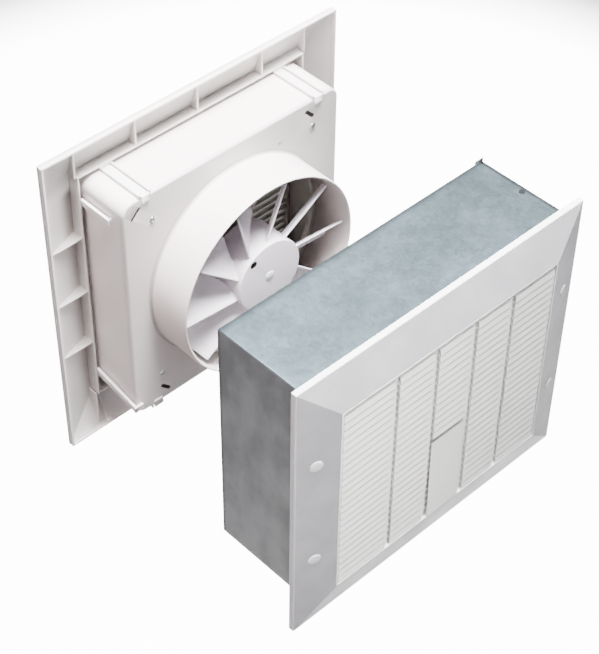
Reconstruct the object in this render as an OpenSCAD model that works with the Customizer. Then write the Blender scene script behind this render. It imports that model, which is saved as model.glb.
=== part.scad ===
// Through-wall exhaust fan: an indoor fan unit and a galvanised wall sleeve with its exterior
// louvre grille, drawn pulled apart on their common axis. Millimetres, +Z up.
// The outer wall face is the plane y = 0, outdoors is -Y, the room is +Y, and the fan axis is x = z = 0.

/* [Layout] */
// Gap between the rear edge of the sleeve and the rim of the duct, as the two halves are drawn
pull_out = 125; // [70:1:300]
// Running gap between parts that slide or turn past each other
fit_gap = 0.3; // [0.2:0.05:0.5]

/* [Exterior grille] */
// Width of the grille flange
grille_w = 400; // [390:1:460]
// Height of the grille flange
grille_h = 354; // [340:1:420]
// How far the grille centre lies below the fan axis
grille_drop = 30; // [22:1:36]
// Depth of the straight edge of the grille flange
grille_edge = 7; // [4:0.5:12]
// Width of the bevelled border
grille_border = 47; // [40:1:52]
// Height that the bevelled border rises to the louvre panel
grille_rise = 14; // [9:0.5:22]
// Wall of the moulded grille frame
grille_wall = 2.5; // [1.5:0.1:3]
// Depth of the collar that holds the louvre panel
louvre_seat = 10; // [9:0.5:12]

/* [Louvres] */
// Vertical pitch of the slats
slat_pitch = 10; // [8:0.5:14]
// Thickness of a slat, measured upright
slat_t = 2.4; // [1.6:0.1:3]
// Depth of a slat from front to back
slat_depth = 9; // [7:0.5:9.5]
// Angle at which the slats shed rain
slat_tilt = 40; // [25:1:45]
// Angle of the intake slats, which hide the inside from the room
intake_tilt = 26; // [20:1:45]
// Width of one of the three inner columns of slats
column_w = 54; // [40:1:60]
// Width of the groove between two columns
groove_w = 3; // [2:0.5:5]
// Depth of the groove between two columns
groove_depth = 3.5; // [2:0.5:5]
// Width of the web behind a groove
web_w = 5; // [4.5:0.5:7]
// Rim wall of a louvre panel
louvre_rim = 2; // [1.5:0.1:3]
// Width of the rear flange of a louvre panel
louvre_flange = 3; // [2:0.5:5]
// Thickness of the rear flange of a louvre panel
louvre_flange_t = 2; // [1.5:0.5:3]
// Height of the plain patch at the foot of the middle column
patch_h = 119; // [40:1:140]
// Thickness of the plain patch
patch_t = 2.5; // [1.5:0.1:4]

/* [Grille screws] */
// Distance of a grille screw from the outside of the sleeve
grille_screw_in = 7; // [5.5:0.5:9]
// Vertical distance between the two screws on one side
grille_screw_pitch = 140; // [80:1:220]
// Diameter of the domed screw caps
cap_d = 17; // [14:0.5:20]
// Height of the dome of a screw cap
cap_h = 4.5; // [3:0.5:6]
// Diameter of the grille screws
grille_screw_d = 4; // [3:0.5:5]
// Diameter of the grille screw heads
grille_head_d = 7.6; // [6:0.2:8]

/* [Wall sleeve] */
// How far the grille flange laps over the sleeve at each side
grille_lap = 15; // [11:0.5:19]
// Outside height of the sleeve
sleeve_h = 298; // [280:1:304]
// How far the sleeve centre lies below the fan axis
sleeve_drop = 16; // [10:1:24]
// Depth of the sleeve behind the grille flange
sleeve_depth = 116; // [100:1:220]
// Sheet thickness of the sleeve
sheet_t = 1; // [0.6:0.1:1.5]
// Width of the two front flanges that the grille screws bite into
sleeve_flange = 18; // [15:0.5:22]
// Width of the lap of the sleeve seam
lap_w = 16; // [12:1:20]
// Diameter of the seam rivets
rivet_d = 4; // [3:0.5:5]
// Distance of the seam rivets from the front edge of the sleeve
rivet_y = 54; // [20:1:90]
// Length of the bent tab at the rear end of the seam
tab_l = 12; // [6:1:16]
// Height of the bent tab at the rear end of the seam
tab_h = 4; // [2:0.5:8]

/* [Duct] */
// Outside diameter of the duct spigot
duct_d = 244; // [236:1:252]
// Wall of the duct spigot
duct_wall = 3; // [2:0.1:4]
// Length of the duct spigot behind the plinth
duct_reach = 56; // [50:1:72]
// Radius of the fillet at the foot of the duct spigot
duct_fillet = 2; // [1:0.5:6]

/* [Plinth] */
// Distance from the duct spigot to each side of the square plinth
plinth_margin = 29; // [26:1:34]
// How far the plinth centre lies below the fan axis
plinth_drop = 3; // [0:1:8]
// Depth of the plinth from its closed back to the fascia
plinth_depth = 76.5; // [74:0.5:96]
// Wall of the plinth
plinth_wall = 2.5; // [2:0.1:3.5]
// Corner radius of the plinth
plinth_r = 14; // [8:1:16]
// Length of a corner fixing slot
slot_l = 18; // [10:1:22]
// Width of a corner fixing slot
slot_w = 4.5; // [3:0.5:6]
// Distance of the upper left and lower right slot centres from the side of the plinth
slot_near_x = 17; // [15:0.5:20]
// Distance of the upper right and lower left slot centres from the side of the plinth
slot_far_x = 42; // [38:0.5:48]
// Distance of a slot centre from the top or bottom of the plinth
slot_in_z = 17; // [15.5:0.5:20]

/* [Fascia] */
// How far the square fascia reaches past each side of the plinth
fascia_lap = 52; // [48:1:64]
// How far the fascia centre lies below the fan axis
fascia_drop = 10; // [6:1:13]
// Depth of the straight edge of the fascia
fascia_edge = 8; // [5:0.5:12]
// Width of the bevelled border of the fascia
fascia_border = 42; // [38:1:46]
// Height that the fascia border rises to the flat panel
fascia_rise = 14; // [9:0.5:20]
// Wall of the fascia
fascia_wall = 2.5; // [2:0.1:3]
// Distance from each side of the plinth to the opening for the intake louvres
intake_in = 9; // [7:0.5:16]
// Gap between the plinth and the collar on the fascia
collar_gap = 5; // [4:0.5:7]
// Wall of the collar on the fascia
collar_wall = 2; // [1.5:0.1:3]
// Thickness of a fascia rib
rib_t = 2; // [1.5:0.1:3]
// Distance of the outermost top and bottom ribs from the middle
rib_outer_x = 160; // [140:1:170]
// Place of the left inner rib along the top and the bottom
rib_left_x = -80; // [-120:1:-40]
// Place of the middle rib along the top and the bottom
rib_middle_x = 5; // [-20:1:30]
// Place of the right inner rib along the top and the bottom
rib_right_x = 97; // [60:1:120]
// Pitch of the ribs along the two sides
rib_pitch_z = 76; // [50:1:80]

/* [Clips] */
// Distance of the top and bottom clips from the sides of the plinth
clip_in = 30; // [25:1:50]
// Width of a top or bottom clip
clip_w = 16; // [12:0.5:20]
// Thickness of a clip strap
clip_t = 2; // [1.5:0.1:3]
// Height of the two raised edges of a clip above its strap
clip_edge = 2; // [1:0.5:3]
// Length of a clip hook behind the plinth
clip_hook = 7; // [5:0.5:9]
// Width of a side arm
arm_w = 7; // [5:0.5:9]
// Thickness of a side arm
arm_t = 3.5; // [2.5:0.5:4]
// Length of the upper side arms
arm_l = 46; // [30:1:56]
// Distance of the upper side arms from the top of the plinth
arm_top_in = 27; // [22:1:48]
// Height above the foot of the plinth at which a lower side arm leaves the fascia
arm_foot_in = 24; // [18:1:39]
// Drop of a lower side arm on its way to the back edge of the plinth
arm_drop = 14; // [0:1:15]

/* [Impeller] */
// Diameter of the impeller hub
hub_d = 88; // [80:1:100]
// Distance of the hub face behind the duct rim
hub_in = 2; // [2:0.5:12]
// Length of the hub cup
hub_l = 48; // [40:1:56]
// Wall of the hub cup
hub_wall = 2.5; // [2:0.1:4]
// Number of blades
blade_count = 10; // [6:1:12]
// Gap between the blade tips and the duct wall
tip_gap = 5; // [3:0.5:7]
// Thickness of a blade
blade_t = 2.2; // [1.6:0.1:3]
// Radius of the blade camber
camber_r = 75; // [60:1:120]
// Pitch angle of the blades
blade_pitch = 37; // [25:1:45]
// Distance of the blades behind the hub face
blade_in = 6; // [3:0.5:12]
// Depth of the blades along the axis
blade_depth = 27; // [20:1:28]
// Depth of a blade where it leaves the hub
blade_root_depth = 11; // [8:1:18]
// Distance from the hub over which a blade widens to its full depth
blade_flare = 26; // [10:1:40]
// Angle of the first blade
blade_start = 31; // [0:1:36]

/* [Motor] */
// Diameter of the motor shaft
shaft_d = 8; // [6:0.5:10]
// Radial running clearance of the shaft in its bearings
shaft_clear = 0.04; // [0.02:0.01:0.08]
// Outside diameter of the motor
motor_d = 84; // [76:1:90]
// Wall of the motor shells
shell_wall = 2; // [1.5:0.1:3]
// Length of the front shell
front_shell_l = 14; // [12:1:16]
// Length of the stator stack
stator_l = 16; // [12:1:18]
// Length of the rear shell
rear_shell_l = 13; // [12:1:16]
// Bore diameter of the stator
stator_bore_d = 52; // [44:1:56]
// Air gap between the rotor core and the stator
air_gap = 0.5; // [0.4:0.1:1]
// Outside diameter of the bearings
bearing_d = 22; // [19:1:24]
// Length of a bearing
bearing_l = 8; // [6:1:9]
// Diameter of the motor bolts
motor_bolt_d = 4; // [3:0.5:5]
// Width of a spider arm
spider_arm_w = 12; // [8:1:13]
// Thickness of the spider
spider_t = 5; // [4:0.5:7]
// Radius of a spider foot
spider_foot_r = 7; // [6.8:0.2:8]
// Distance of the spider from the closed back of the plinth
spider_stand = 12; // [11:0.5:15]
// Distance of a spider foot from the sides of the plinth
spider_foot_in = 38; // [35:1:45]
// Diameter of the screws in the plinth back
body_screw_d = 4; // [3:0.5:5]

/* [Inlet ring] */
// Width of the flat flange of the inlet ring
inlet_flange = 16; // [15:0.5:20]
// Radius of the rounded mouth of the inlet ring
inlet_round = 8; // [5:0.5:9]
// Thickness of the inlet ring
inlet_t = 2.5; // [2:0.1:3]
// Sideways distance of an inlet ring screw from the fan axis
inlet_screw_x = 64; // [50:1:80]
// Distance of an inlet ring screw from the duct wall
inlet_screw_out = 10.5; // [10:0.5:11]

/* [Electrical] */
// Width of the terminal box
box_w = 42; // [36:1:46]
// Height of the terminal box
box_h = 30; // [26:1:34]
// Depth of the terminal box
box_depth = 24; // [20:1:28]
// Wall of the terminal box
box_wall = 2; // [1.5:0.1:3]
// Distance of the middle of the terminal box and of the capacitor from the sides of the plinth
box_in = 63; // [57:1:67]
// Distance of the terminal box from the closed back of the plinth
box_stand = 12; // [11:0.5:16]
// Height of the cable grommet above the foot of the plinth
grommet_in = 18; // [14:0.5:20]
// Diameter of the cable grommet hole
grommet_d = 12; // [9:0.5:13]
// Diameter of the run capacitor
capacitor_d = 26; // [22:1:30]
// Length of the run capacitor
capacitor_l = 44; // [36:1:50]
// Width of the capacitor strap
strap_w = 12; // [8:1:16]
// Thickness of the capacitor strap
strap_t = 1.2; // [0.8:0.1:2]
// Length of a foot of the capacitor strap
strap_foot = 8; // [6:0.5:12]
// Width of the terminal block
block_w = 26; // [20:1:30]
// Height of the terminal block
block_h = 10; // [8:0.5:12]
// Depth of the terminal block
block_depth = 16; // [12:0.5:18]

/* [Hidden] */
$fn = 96;

// Amount by which a cutting tool runs past the face that it cuts
past = 1;
white = [0.93, 0.92, 0.9];
ivory = [0.9, 0.9, 0.87];
zinc = [0.68, 0.72, 0.75];
steel = [0.62, 0.62, 0.64];
dark = [0.18, 0.18, 0.19];

grille_z = -grille_drop;
sleeve_z = -sleeve_drop;
panel_w = grille_w - 2 * grille_border;
panel_h = grille_h - 2 * grille_border;
panel_y = -grille_edge - grille_rise;
sleeve_w = grille_w - 2 * grille_lap;
cap_x = sleeve_w / 2 - grille_screw_in;
cap_surface_y = -grille_edge - grille_rise * (grille_lap + grille_screw_in) / grille_border;
boss_r = grille_head_d / 2 + grille_wall;
screw_seat_y = -2 * grille_wall;

plinth_w = duct_d + 2 * plinth_margin;
duct_r = duct_d / 2;
duct_bore_r = duct_r - duct_wall;
rim_y = sleeve_depth + pull_out;
back_y = rim_y + duct_reach;
inside_y = back_y + plinth_wall;
front_y = back_y + plinth_depth;
plinth_z = -plinth_drop;
plinth_top = plinth_z + plinth_w / 2;
plinth_foot = plinth_z - plinth_w / 2;

fascia_w = plinth_w + 2 * fascia_lap;
fascia_z = -fascia_drop;
intake_w = plinth_w - 2 * intake_in;
fascia_front_y = front_y + fascia_wall;
fascia_back_y = fascia_front_y - fascia_edge - fascia_rise;
collar_back_y = fascia_back_y + fascia_edge / 2;

clip_x = plinth_w / 2 - clip_in;
arm_top_z = plinth_top - arm_top_in;
arm_foot_z = plinth_foot + arm_foot_in;

spider_x = plinth_w / 2 - spider_foot_in;
spider_y = inside_y + spider_stand;
motor_y = spider_y + spider_t;
stator_y = motor_y + front_shell_l;
rear_shell_y = stator_y + stator_l;
motor_end_y = rear_shell_y + rear_shell_l;
motor_r = motor_d / 2;
motor_bolt_r = motor_r - 1.25 * motor_bolt_d;
bearing_boss_r = bearing_d / 2 + shell_wall;
front_bearing_y = motor_y - 2;
rear_bearing_y = motor_end_y - shell_wall - bearing_l;
hub_face_y = rim_y + hub_in;
blade_y = hub_face_y + blade_in;
tip_r = duct_bore_r - tip_gap;
rotor_r = stator_bore_d / 2 - air_gap;

floor_z = plinth_foot + plinth_wall;
box_x = plinth_w / 2 - box_in;
box_y = inside_y + box_stand;
box_z = floor_z + box_h / 2;
block_z = box_z + box_h / 2 - box_wall - block_h / 2;
grommet_z = plinth_foot + grommet_in;
grommet_lip_r = grommet_d / 2 + 1.5;
capacitor_r = capacitor_d / 2;
capacitor_y = box_y + capacitor_r;
capacitor_z = floor_z + capacitor_r;

// Extrudes a profile drawn in X and Z from one Y to another
module along_y(y0, y1) {
    translate([0, y1, 0]) rotate([90, 0, 0]) linear_extrude(y1 - y0) children();
}

// Extrudes a profile drawn in Y and Z from one X to another
module along_x(x0, x1) {
    translate([x0, 0, 0]) rotate([90, 0, 90]) linear_extrude(x1 - x0) children();
}

// Revolves a profile drawn in radius and Y round the fan axis
module about_y() {
    rotate([-90, 0, 0]) rotate_extrude($fn = 160) children();
}

// Round bar along Y from y0 to y1
module bar_y(r, y0, y1) {
    translate([0, y0, 0]) rotate([-90, 0, 0]) cylinder(h = y1 - y0, r = r);
}

// Rectangular block centred in X and Z
module block(w, h, y0, y1) {
    translate([-w / 2, y0, -h / 2]) cube([w, y1 - y0, h]);
}

// Block centred in X and Z whose four edges along Y are rounded
module round_block(w, h, r, y0, y1) {
    block(w - 2 * r, h, y0, y1);
    block(w, h - 2 * r, y0, y1);
    for (x = [-1, 1], z = [-1, 1])
        translate([x * (w / 2 - r), 0, z * (h / 2 - r)]) bar_y(r, y0, y1);
}

// Open rectangular frame centred in X and Z
module frame_ring(w, h, wall, y0, y1) {
    difference() {
        block(w, h, y0, y1);
        block(w - 2 * wall, h - 2 * wall, y0 - past, y1 + past);
    }
}

// Profile of a bevelled tray, with its flat face towards -Y and its open side at y = rear
function tray_profile(w, edge, rise, border, rear) = [
    [-w / 2, rear], [-w / 2, -edge], [-w / 2 + border, -edge - rise],
    [w / 2 - border, -edge - rise], [w / 2, -edge], [w / 2, rear]
];

// Solid truncated pyramid on a straight edge, with mitred corners
module tray_solid(w, h, edge, rise, border, rear = 0) {
    upright = [for (p = tray_profile(h, edge, rise, border, rear)) [p[1], p[0]]];
    intersection() {
        linear_extrude(h, center = true) polygon(tray_profile(w, edge, rise, border, rear));
        along_x(-w / 2, w / 2) polygon(upright);
    }
}

// Hollow bevelled tray
module tray_shell(w, h, edge, rise, border, wall) {
    difference() {
        tray_solid(w, h, edge, rise, border);
        tray_solid(w - 2 * wall, h - 2 * wall, edge - wall, rise, border, past);
    }
}

// Louvre panel with its front face at y = 0, drawn from y = 0 to its rear flange
module louvre_insert(w, h, columns, patch, tilt) {
    inner_w = w - 2 * louvre_rim;
    inner_h = h - 2 * louvre_rim;
    rows = floor(inner_h / slat_pitch);
    lift = slat_depth * tan(tilt);
    first = -(rows - 1) / 2 * slat_pitch;
    frame_ring(w, h, louvre_rim, 0, louvre_seat);
    difference() {
        block(w + 2 * louvre_flange, h + 2 * louvre_flange, louvre_seat, louvre_seat + louvre_flange_t);
        block(inner_w, inner_h, louvre_seat - past, louvre_seat + louvre_flange_t + past);
    }
    difference() {
        intersection() {
            block(w - louvre_rim, inner_h + louvre_rim, 0, louvre_seat);
            for (i = [0 : rows - 1])
                translate([0, 0, first + i * slat_pitch])
                    along_x(-w / 2, w / 2)
                        polygon([[0, -slat_t / 2], [slat_depth, lift - slat_t / 2],
                                 [slat_depth, lift + slat_t / 2], [0, slat_t / 2]]);
        }
        for (x = concat(columns, [-(inner_w - groove_w) / 2, (inner_w - groove_w) / 2]))
            translate([x, 0, 0]) block(groove_w, inner_h, -past, groove_depth);
    }
    for (x = columns)
        translate([x, 0, 0]) block(web_w, inner_h + louvre_rim, groove_depth, louvre_seat);
    if (patch > 0)
        translate([0, 0, (patch - inner_h) / 2])
            block(column_w - groove_w, patch, 0, patch_t);
}

// Moves its children to each grille screw
module at_grille_screws() {
    for (x = [-1, 1], z = [-1, 1])
        translate([x * cap_x, 0, grille_z + z * grille_screw_pitch / 2]) children();
}

// Bevelled frame of the exterior grille
module grille_frame() color(white) difference() {
    union() {
        translate([0, 0, grille_z])
            tray_shell(grille_w, grille_h, grille_edge, grille_rise, grille_border, grille_wall);
        intersection() {
            translate([0, 0, grille_z])
                tray_solid(grille_w, grille_h, grille_edge, grille_rise, grille_border);
            union() {
                translate([0, 0, grille_z])
                    block(panel_w + 2 * grille_wall, panel_h + 2 * grille_wall, panel_y,
                          panel_y + louvre_seat);
                at_grille_screws() bar_y(boss_r, panel_y, 0);
            }
        }
    }
    translate([0, 0, grille_z]) block(panel_w, panel_h, panel_y - past, past);
    at_grille_screws() {
        bar_y(grille_screw_d / 2 + fit_gap, panel_y - past, past);
        bar_y(grille_head_d / 2 + fit_gap, panel_y - past, screw_seat_y);
    }
}

// Slatted panel of the exterior grille
module louvre_panel() color(ivory) {
    gap = fit_gap / 2;
    translate([0, panel_y, grille_z])
        louvre_insert(panel_w - 2 * gap, panel_h - 2 * gap,
                      [for (i = [-1.5 : 1 : 1.5]) i * column_w], patch_h, slat_tilt);
}

// Domed caps over the grille screws
module screw_caps() color(white) {
    dome_r = (pow(cap_d / 2, 2) + cap_h * cap_h) / (2 * cap_h);
    head_top_y = screw_seat_y - grille_head_d / 3;
    difference() {
        at_grille_screws() {
            intersection() {
                translate([0, cap_surface_y - cap_h + dome_r, 0]) sphere(r = dome_r);
                bar_y(cap_d / 2, cap_surface_y - cap_h - past, cap_surface_y + grille_wall);
            }
        }
        translate([0, 0, grille_z])
            tray_solid(grille_w, grille_h, grille_edge, grille_rise, grille_border);
    }
    at_grille_screws() bar_y(grille_head_d / 2, cap_surface_y - cap_h / 2, head_top_y);
}

// Screws that hold the grille to the front flanges of the sleeve
module grille_screws() color(steel) at_grille_screws() {
    bar_y(grille_head_d / 2, screw_seat_y - grille_head_d / 3, screw_seat_y);
    bar_y(grille_screw_d / 2, screw_seat_y - past, grille_wall * 3);
}

// Folded sheet sleeve with two front flanges, a lap seam and a bent rear tab
module wall_sleeve() color(zinc) {
    lap_x = sleeve_w / 2 - lap_w;
    top = sleeve_z + sleeve_h / 2;
    foot = sleeve_z - sleeve_h / 2;
    difference() {
        union() {
            translate([0, 0, sleeve_z]) frame_ring(sleeve_w, sleeve_h, sheet_t, 0, sleeve_depth);
            for (x = [-1, 1])
                translate([x * (sleeve_w - sleeve_flange) / 2, 0, sleeve_z])
                    block(sleeve_flange, sleeve_h, 0, sheet_t);
            for (z = [top - 2 * sheet_t, foot + sheet_t])
                translate([lap_x, sheet_t, z]) cube([lap_w, sleeve_depth - sheet_t, sheet_t]);
            translate([sleeve_w / 2 - tab_l, sleeve_depth - sheet_t, top - sheet_t])
                cube([tab_l, sheet_t, tab_h + sheet_t]);
        }
        at_grille_screws() bar_y(grille_screw_d / 2, -past, sheet_t + past);
        translate([lap_x + lap_w / 2, rivet_y, foot - past])
            cylinder(h = sleeve_h + 2 * past, r = rivet_d / 2);
    }
}

// Blind rivets through the lap seam, one on the top and one on the bottom
module seam_rivets() color(dark) {
    head_h = 0.8;
    for (side = [-1, 1])
        translate([sleeve_w / 2 - lap_w / 2, rivet_y, sleeve_z + side * sleeve_h / 2]) {
            mirror([0, 0, side < 0 ? 1 : 0]) {
                cylinder(h = head_h, r = rivet_d * 0.8);
                translate([0, 0, -3 * sheet_t]) cylinder(h = 3 * sheet_t, r = rivet_d / 2);
                translate([0, 0, -2 * sheet_t - head_h]) cylinder(h = head_h, r = rivet_d * 0.7);
            }
        }
}

// Moves its children to the four inlet ring screws
module at_inlet_screws() {
    r = duct_r + inlet_screw_out;
    z = sqrt(r * r - inlet_screw_x * inlet_screw_x);
    for (x = [-1, 1], s = [-1, 1])
        translate([x * inlet_screw_x, 0, s * z]) children();
}

// Moves its children to the four spider feet
module at_spider_feet() {
    for (x = [-1, 1], z = [-1, 1])
        translate([x * spider_x, 0, z * spider_x]) children();
}

// Tangential fixing slot in a corner of the plinth back
module corner_slot(x, z) {
    turn = x * z > 0 ? 45 : -45;
    in_x = x * z > 0 ? slot_far_x : slot_near_x;
    translate([x * (plinth_w / 2 - in_x), 0, plinth_z + z * (plinth_w / 2 - slot_in_z)])
        rotate([0, turn, 0])
            round_block(slot_l, slot_w, slot_w / 2 - 0.01, back_y - past, inside_y + past);
}

// Plinth: rounded box that is open to the room, with the duct spigot on its closed back
module plinth() color(white) difference() {
    union() {
        translate([0, 0, plinth_z]) round_block(plinth_w, plinth_w, plinth_r, back_y, front_y);
        about_y() polygon(concat(
            [[duct_bore_r, rim_y], [duct_r, rim_y], [duct_r, back_y - duct_fillet]],
            [for (a = [5 : 5 : 85])
                [duct_r + duct_fillet * (1 - cos(a)), back_y - duct_fillet * (1 - sin(a))]],
            [[duct_r + duct_fillet, back_y], [duct_r + duct_fillet, inside_y], [duct_bore_r, inside_y]]));
    }
    translate([0, 0, plinth_z])
        round_block(plinth_w - 2 * plinth_wall, plinth_w - 2 * plinth_wall, plinth_r - plinth_wall,
                    inside_y, front_y + past);
    bar_y(duct_bore_r, rim_y - past, inside_y + past, $fn = 160);
    for (x = [-1, 1], z = [-1, 1]) corner_slot(x, z);
    at_inlet_screws() bar_y(body_screw_d / 2, back_y - past, inside_y + past);
    at_spider_feet() bar_y(body_screw_d / 2, back_y - past, inside_y + past);
    for (x = [-1, 1], e = [-1, 1], s = [-1, 1])
        translate([x * clip_x + e * (clip_w - clip_t) / 2, 0, plinth_z + s * plinth_w / 2])
            block(clip_t + 2 * fit_gap, plinth_wall, back_y - past, back_y + 2 * clip_t);
    translate([box_x, 0, grommet_z]) bar_y(grommet_d / 2, back_y - past, inside_y + past);
}

// Ring with a rounded mouth that leads the air into the duct
module inlet_ring() color(white) difference() {
    inside_w = plinth_w - 2 * plinth_wall - 2 * fit_gap;
    intersection() {
        translate([0, 0, plinth_z]) block(inside_w, inside_w, inside_y - past, front_y);
        inlet_profile();
    }
    at_inlet_screws() bar_y(body_screw_d / 2 + fit_gap, inside_y - past, inside_y + inlet_t + past);
    at_spider_feet() bar_y(spider_foot_r + fit_gap, inside_y - past, inside_y + inlet_t + past);
    translate([box_x, 0, grommet_z])
        bar_y(grommet_lip_r + fit_gap, inside_y - past, inside_y + inlet_t + past);
}

// Full ring before its flange is trimmed to the inside of the plinth
module inlet_profile() {
    about_y() polygon(concat(
        [[duct_bore_r, inside_y]],
        [for (a = [0 : 6 : 90])
            [duct_bore_r + inlet_round * (1 - cos(a)), inside_y + inlet_t + inlet_round * sin(a)]],
        [for (a = [90 : -6 : 0])
            [duct_bore_r + inlet_round - (inlet_round - inlet_t) * cos(a),
             inside_y + inlet_t + (inlet_round - inlet_t) * sin(a)]],
        [[duct_r + inlet_flange, inside_y + inlet_t], [duct_r + inlet_flange, inside_y]]));
}

// Screws that hold the inlet ring, with their points behind the plinth back
module inlet_ring_screws() color(steel) at_inlet_screws() {
    bar_y(body_screw_d / 2, back_y - 1, inside_y + inlet_t + past);
    bar_y(body_screw_d * 0.95, inside_y + inlet_t, inside_y + inlet_t + body_screw_d / 2);
}

// Ribs and collar behind the face of the fascia
module fascia_ribs() {
    half = fascia_w / 2;
    collar_w = plinth_w + 2 * (collar_gap + collar_wall);
    translate([0, 0, plinth_z])
        frame_ring(collar_w, collar_w, collar_wall, collar_back_y, fascia_front_y);
    difference() {
        for (x = [-rib_outer_x, rib_left_x, rib_middle_x, rib_right_x, rib_outer_x])
            translate([x, 0, fascia_z])
                block(rib_t, 2 * half, collar_back_y + past, fascia_front_y);
        translate([0, 0, plinth_z])
            block(2 * half, collar_w - collar_wall, fascia_back_y, fascia_front_y + past);
    }
    difference() {
        for (i = [-1 : 1])
            translate([0, 0, plinth_z + i * rib_pitch_z])
                block(2 * half, rib_t, collar_back_y + past, fascia_front_y);
        translate([0, 0, plinth_z])
            block(collar_w - collar_wall, 2 * half, fascia_back_y, fascia_front_y + past);
    }
}

// Bevelled fascia with its collar, ribs and square intake opening
module fascia() color(white) {
    difference() {
        union() {
            translate([0, fascia_back_y, fascia_z]) mirror([0, 1, 0])
                tray_shell(fascia_w, fascia_w, fascia_edge, fascia_rise, fascia_border, fascia_wall);
            intersection() {
                translate([0, fascia_back_y, fascia_z]) mirror([0, 1, 0])
                    tray_solid(fascia_w, fascia_w, fascia_edge, fascia_rise, fascia_border);
                union() {
                    fascia_ribs();
                    translate([0, 0, plinth_z])
                        block(intake_w + 2 * fascia_wall, intake_w + 2 * fascia_wall,
                              fascia_front_y - louvre_seat, fascia_front_y);
                }
            }
        }
        translate([0, 0, plinth_z])
            block(intake_w, intake_w, fascia_front_y - louvre_seat - past, fascia_front_y + past);
    }
}

// Slatted intake panel on the room side of the fascia
module intake_louvres() color(ivory) {
    w = intake_w - fit_gap;
    outer = (w - column_w) / 2 / 2 + column_w / 2;
    translate([0, fascia_front_y, plinth_z]) mirror([0, 1, 0])
        louvre_insert(w, w, [-outer, -column_w / 2, column_w / 2, outer], 0, intake_tilt);
}

// Straps with raised edges that run over the plinth and hook behind its back
module strap_clips() color(white) {
    root_y = collar_back_y + fascia_wall;
    hook_w = clip_w - 2 * clip_t - fit_gap * 2;
    for (x = [-1, 1], s = [-1, 1])
        translate([x * clip_x, 0, plinth_z]) mirror([0, 0, s < 0 ? 1 : 0])
            translate([0, 0, plinth_w / 2 + fit_gap]) {
                translate([-clip_w / 2, back_y, 0]) cube([clip_w, root_y - back_y, clip_t]);
                for (e = [-clip_w / 2, clip_w / 2 - clip_t])
                    translate([e, back_y, 0]) cube([clip_t, root_y - back_y, clip_t + clip_edge]);
                translate([-hook_w / 2, back_y - clip_t, -clip_hook])
                    cube([hook_w, clip_t, clip_hook + clip_t]);
                translate([-hook_w / 2, back_y - clip_t, 0]) cube([hook_w, 2 * clip_t, clip_t]);
                translate([-clip_w / 2, root_y - clip_t, 0])
                    cube([clip_w, clip_t, collar_gap - fit_gap]);
            }
}

// Side arms: the upper pair is short and level, the lower pair runs down to the back edge
module side_arms() color(white) {
    root_y = collar_back_y + fascia_wall;
    stand = collar_gap - arm_t;
    for (x = [-1, 1]) mirror([x < 0 ? 1 : 0, 0, 0]) translate([plinth_w / 2, 0, 0]) {
        translate([stand, root_y - arm_l, arm_top_z - arm_w / 2]) cube([arm_t, arm_l, arm_w]);
        translate([fit_gap, root_y - arm_l, arm_top_z - arm_w / 2]) cube([stand, arm_t, arm_w]);
        along_x(stand, collar_gap)
            polygon([[root_y, arm_foot_z], [root_y, arm_foot_z + arm_w],
                     [back_y - arm_t, arm_foot_z - arm_drop + arm_w],
                     [back_y - arm_t, arm_foot_z - arm_drop]]);
        translate([-clip_hook, back_y - arm_t, arm_foot_z - arm_drop])
            cube([clip_hook + collar_gap, arm_t - fit_gap, arm_w]);
    }
}

// Four-armed spider that carries the motor behind the impeller
module motor_spider() color(white) {
    difference() {
        union() {
            bar_y(motor_r, spider_y, motor_y);
            for (turn = [45 : 90 : 315])
                rotate([0, turn, 0]) translate([0, spider_y, -spider_arm_w / 2])
                    cube([norm([spider_x, spider_x]), spider_t, spider_arm_w]);
            at_spider_feet() bar_y(spider_foot_r, inside_y, motor_y);
        }
        bar_y(bearing_boss_r + fit_gap, spider_y - past, motor_y + past);
        at_spider_feet() bar_y(body_screw_d / 2, inside_y - past, inside_y + spider_stand - past / 2);
        at_motor_bolts() bar_y(motor_bolt_d / 2 + fit_gap, spider_y - past, motor_y + past);
    }
}

// Screws from behind the plinth back into the spider feet
module spider_screws() color(steel) at_spider_feet() {
    bar_y(body_screw_d * 0.95, back_y - body_screw_d / 2, back_y);
    bar_y(body_screw_d / 2, back_y - past, inside_y + spider_stand - past);
}

// Moves its children to the four motor bolts
module at_motor_bolts() {
    for (a = [0 : 90 : 270]) rotate([0, a, 0]) translate([motor_bolt_r, 0, 0]) children();
}

// Cup with a bearing boss, its open end at y = length
module motor_shell(length, boss_from, boss_to) {
    difference() {
        union() {
            difference() {
                bar_y(motor_r, 0, length);
                bar_y(motor_r - shell_wall, shell_wall, length + past);
            }
            bar_y(bearing_boss_r, boss_from, boss_to);
            intersection() {
                bar_y(motor_r, 0, length);
                at_motor_bolts() bar_y(motor_bolt_d, 0, length);
            }
        }
        bar_y(bearing_d / 2, boss_from + shell_wall, boss_to + past);
        bar_y(shaft_d / 2 + fit_gap * 2, boss_from - past, boss_to + past);
        at_motor_bolts() bar_y(motor_bolt_d / 2 + fit_gap, -past, length + past);
    }
}

// Front motor shell, bolted against the spider
module motor_front_shell() color(steel)
    translate([0, motor_y, 0])
        motor_shell(front_shell_l, front_bearing_y - shell_wall - motor_y,
                    front_bearing_y + bearing_l - motor_y);

// Rear motor shell
module motor_rear_shell() color(steel)
    translate([0, motor_end_y, 0]) mirror([0, 1, 0])
        motor_shell(rear_shell_l, 0, shell_wall + bearing_l);

// Laminated stator ring between the two shells
module stator_stack() color(dark) difference() {
    bar_y(motor_r, stator_y, rear_shell_y);
    bar_y(stator_bore_d / 2, stator_y - past, rear_shell_y + past);
    at_motor_bolts() bar_y(motor_bolt_d / 2 + fit_gap, stator_y - past, rear_shell_y + past);
}

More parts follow.
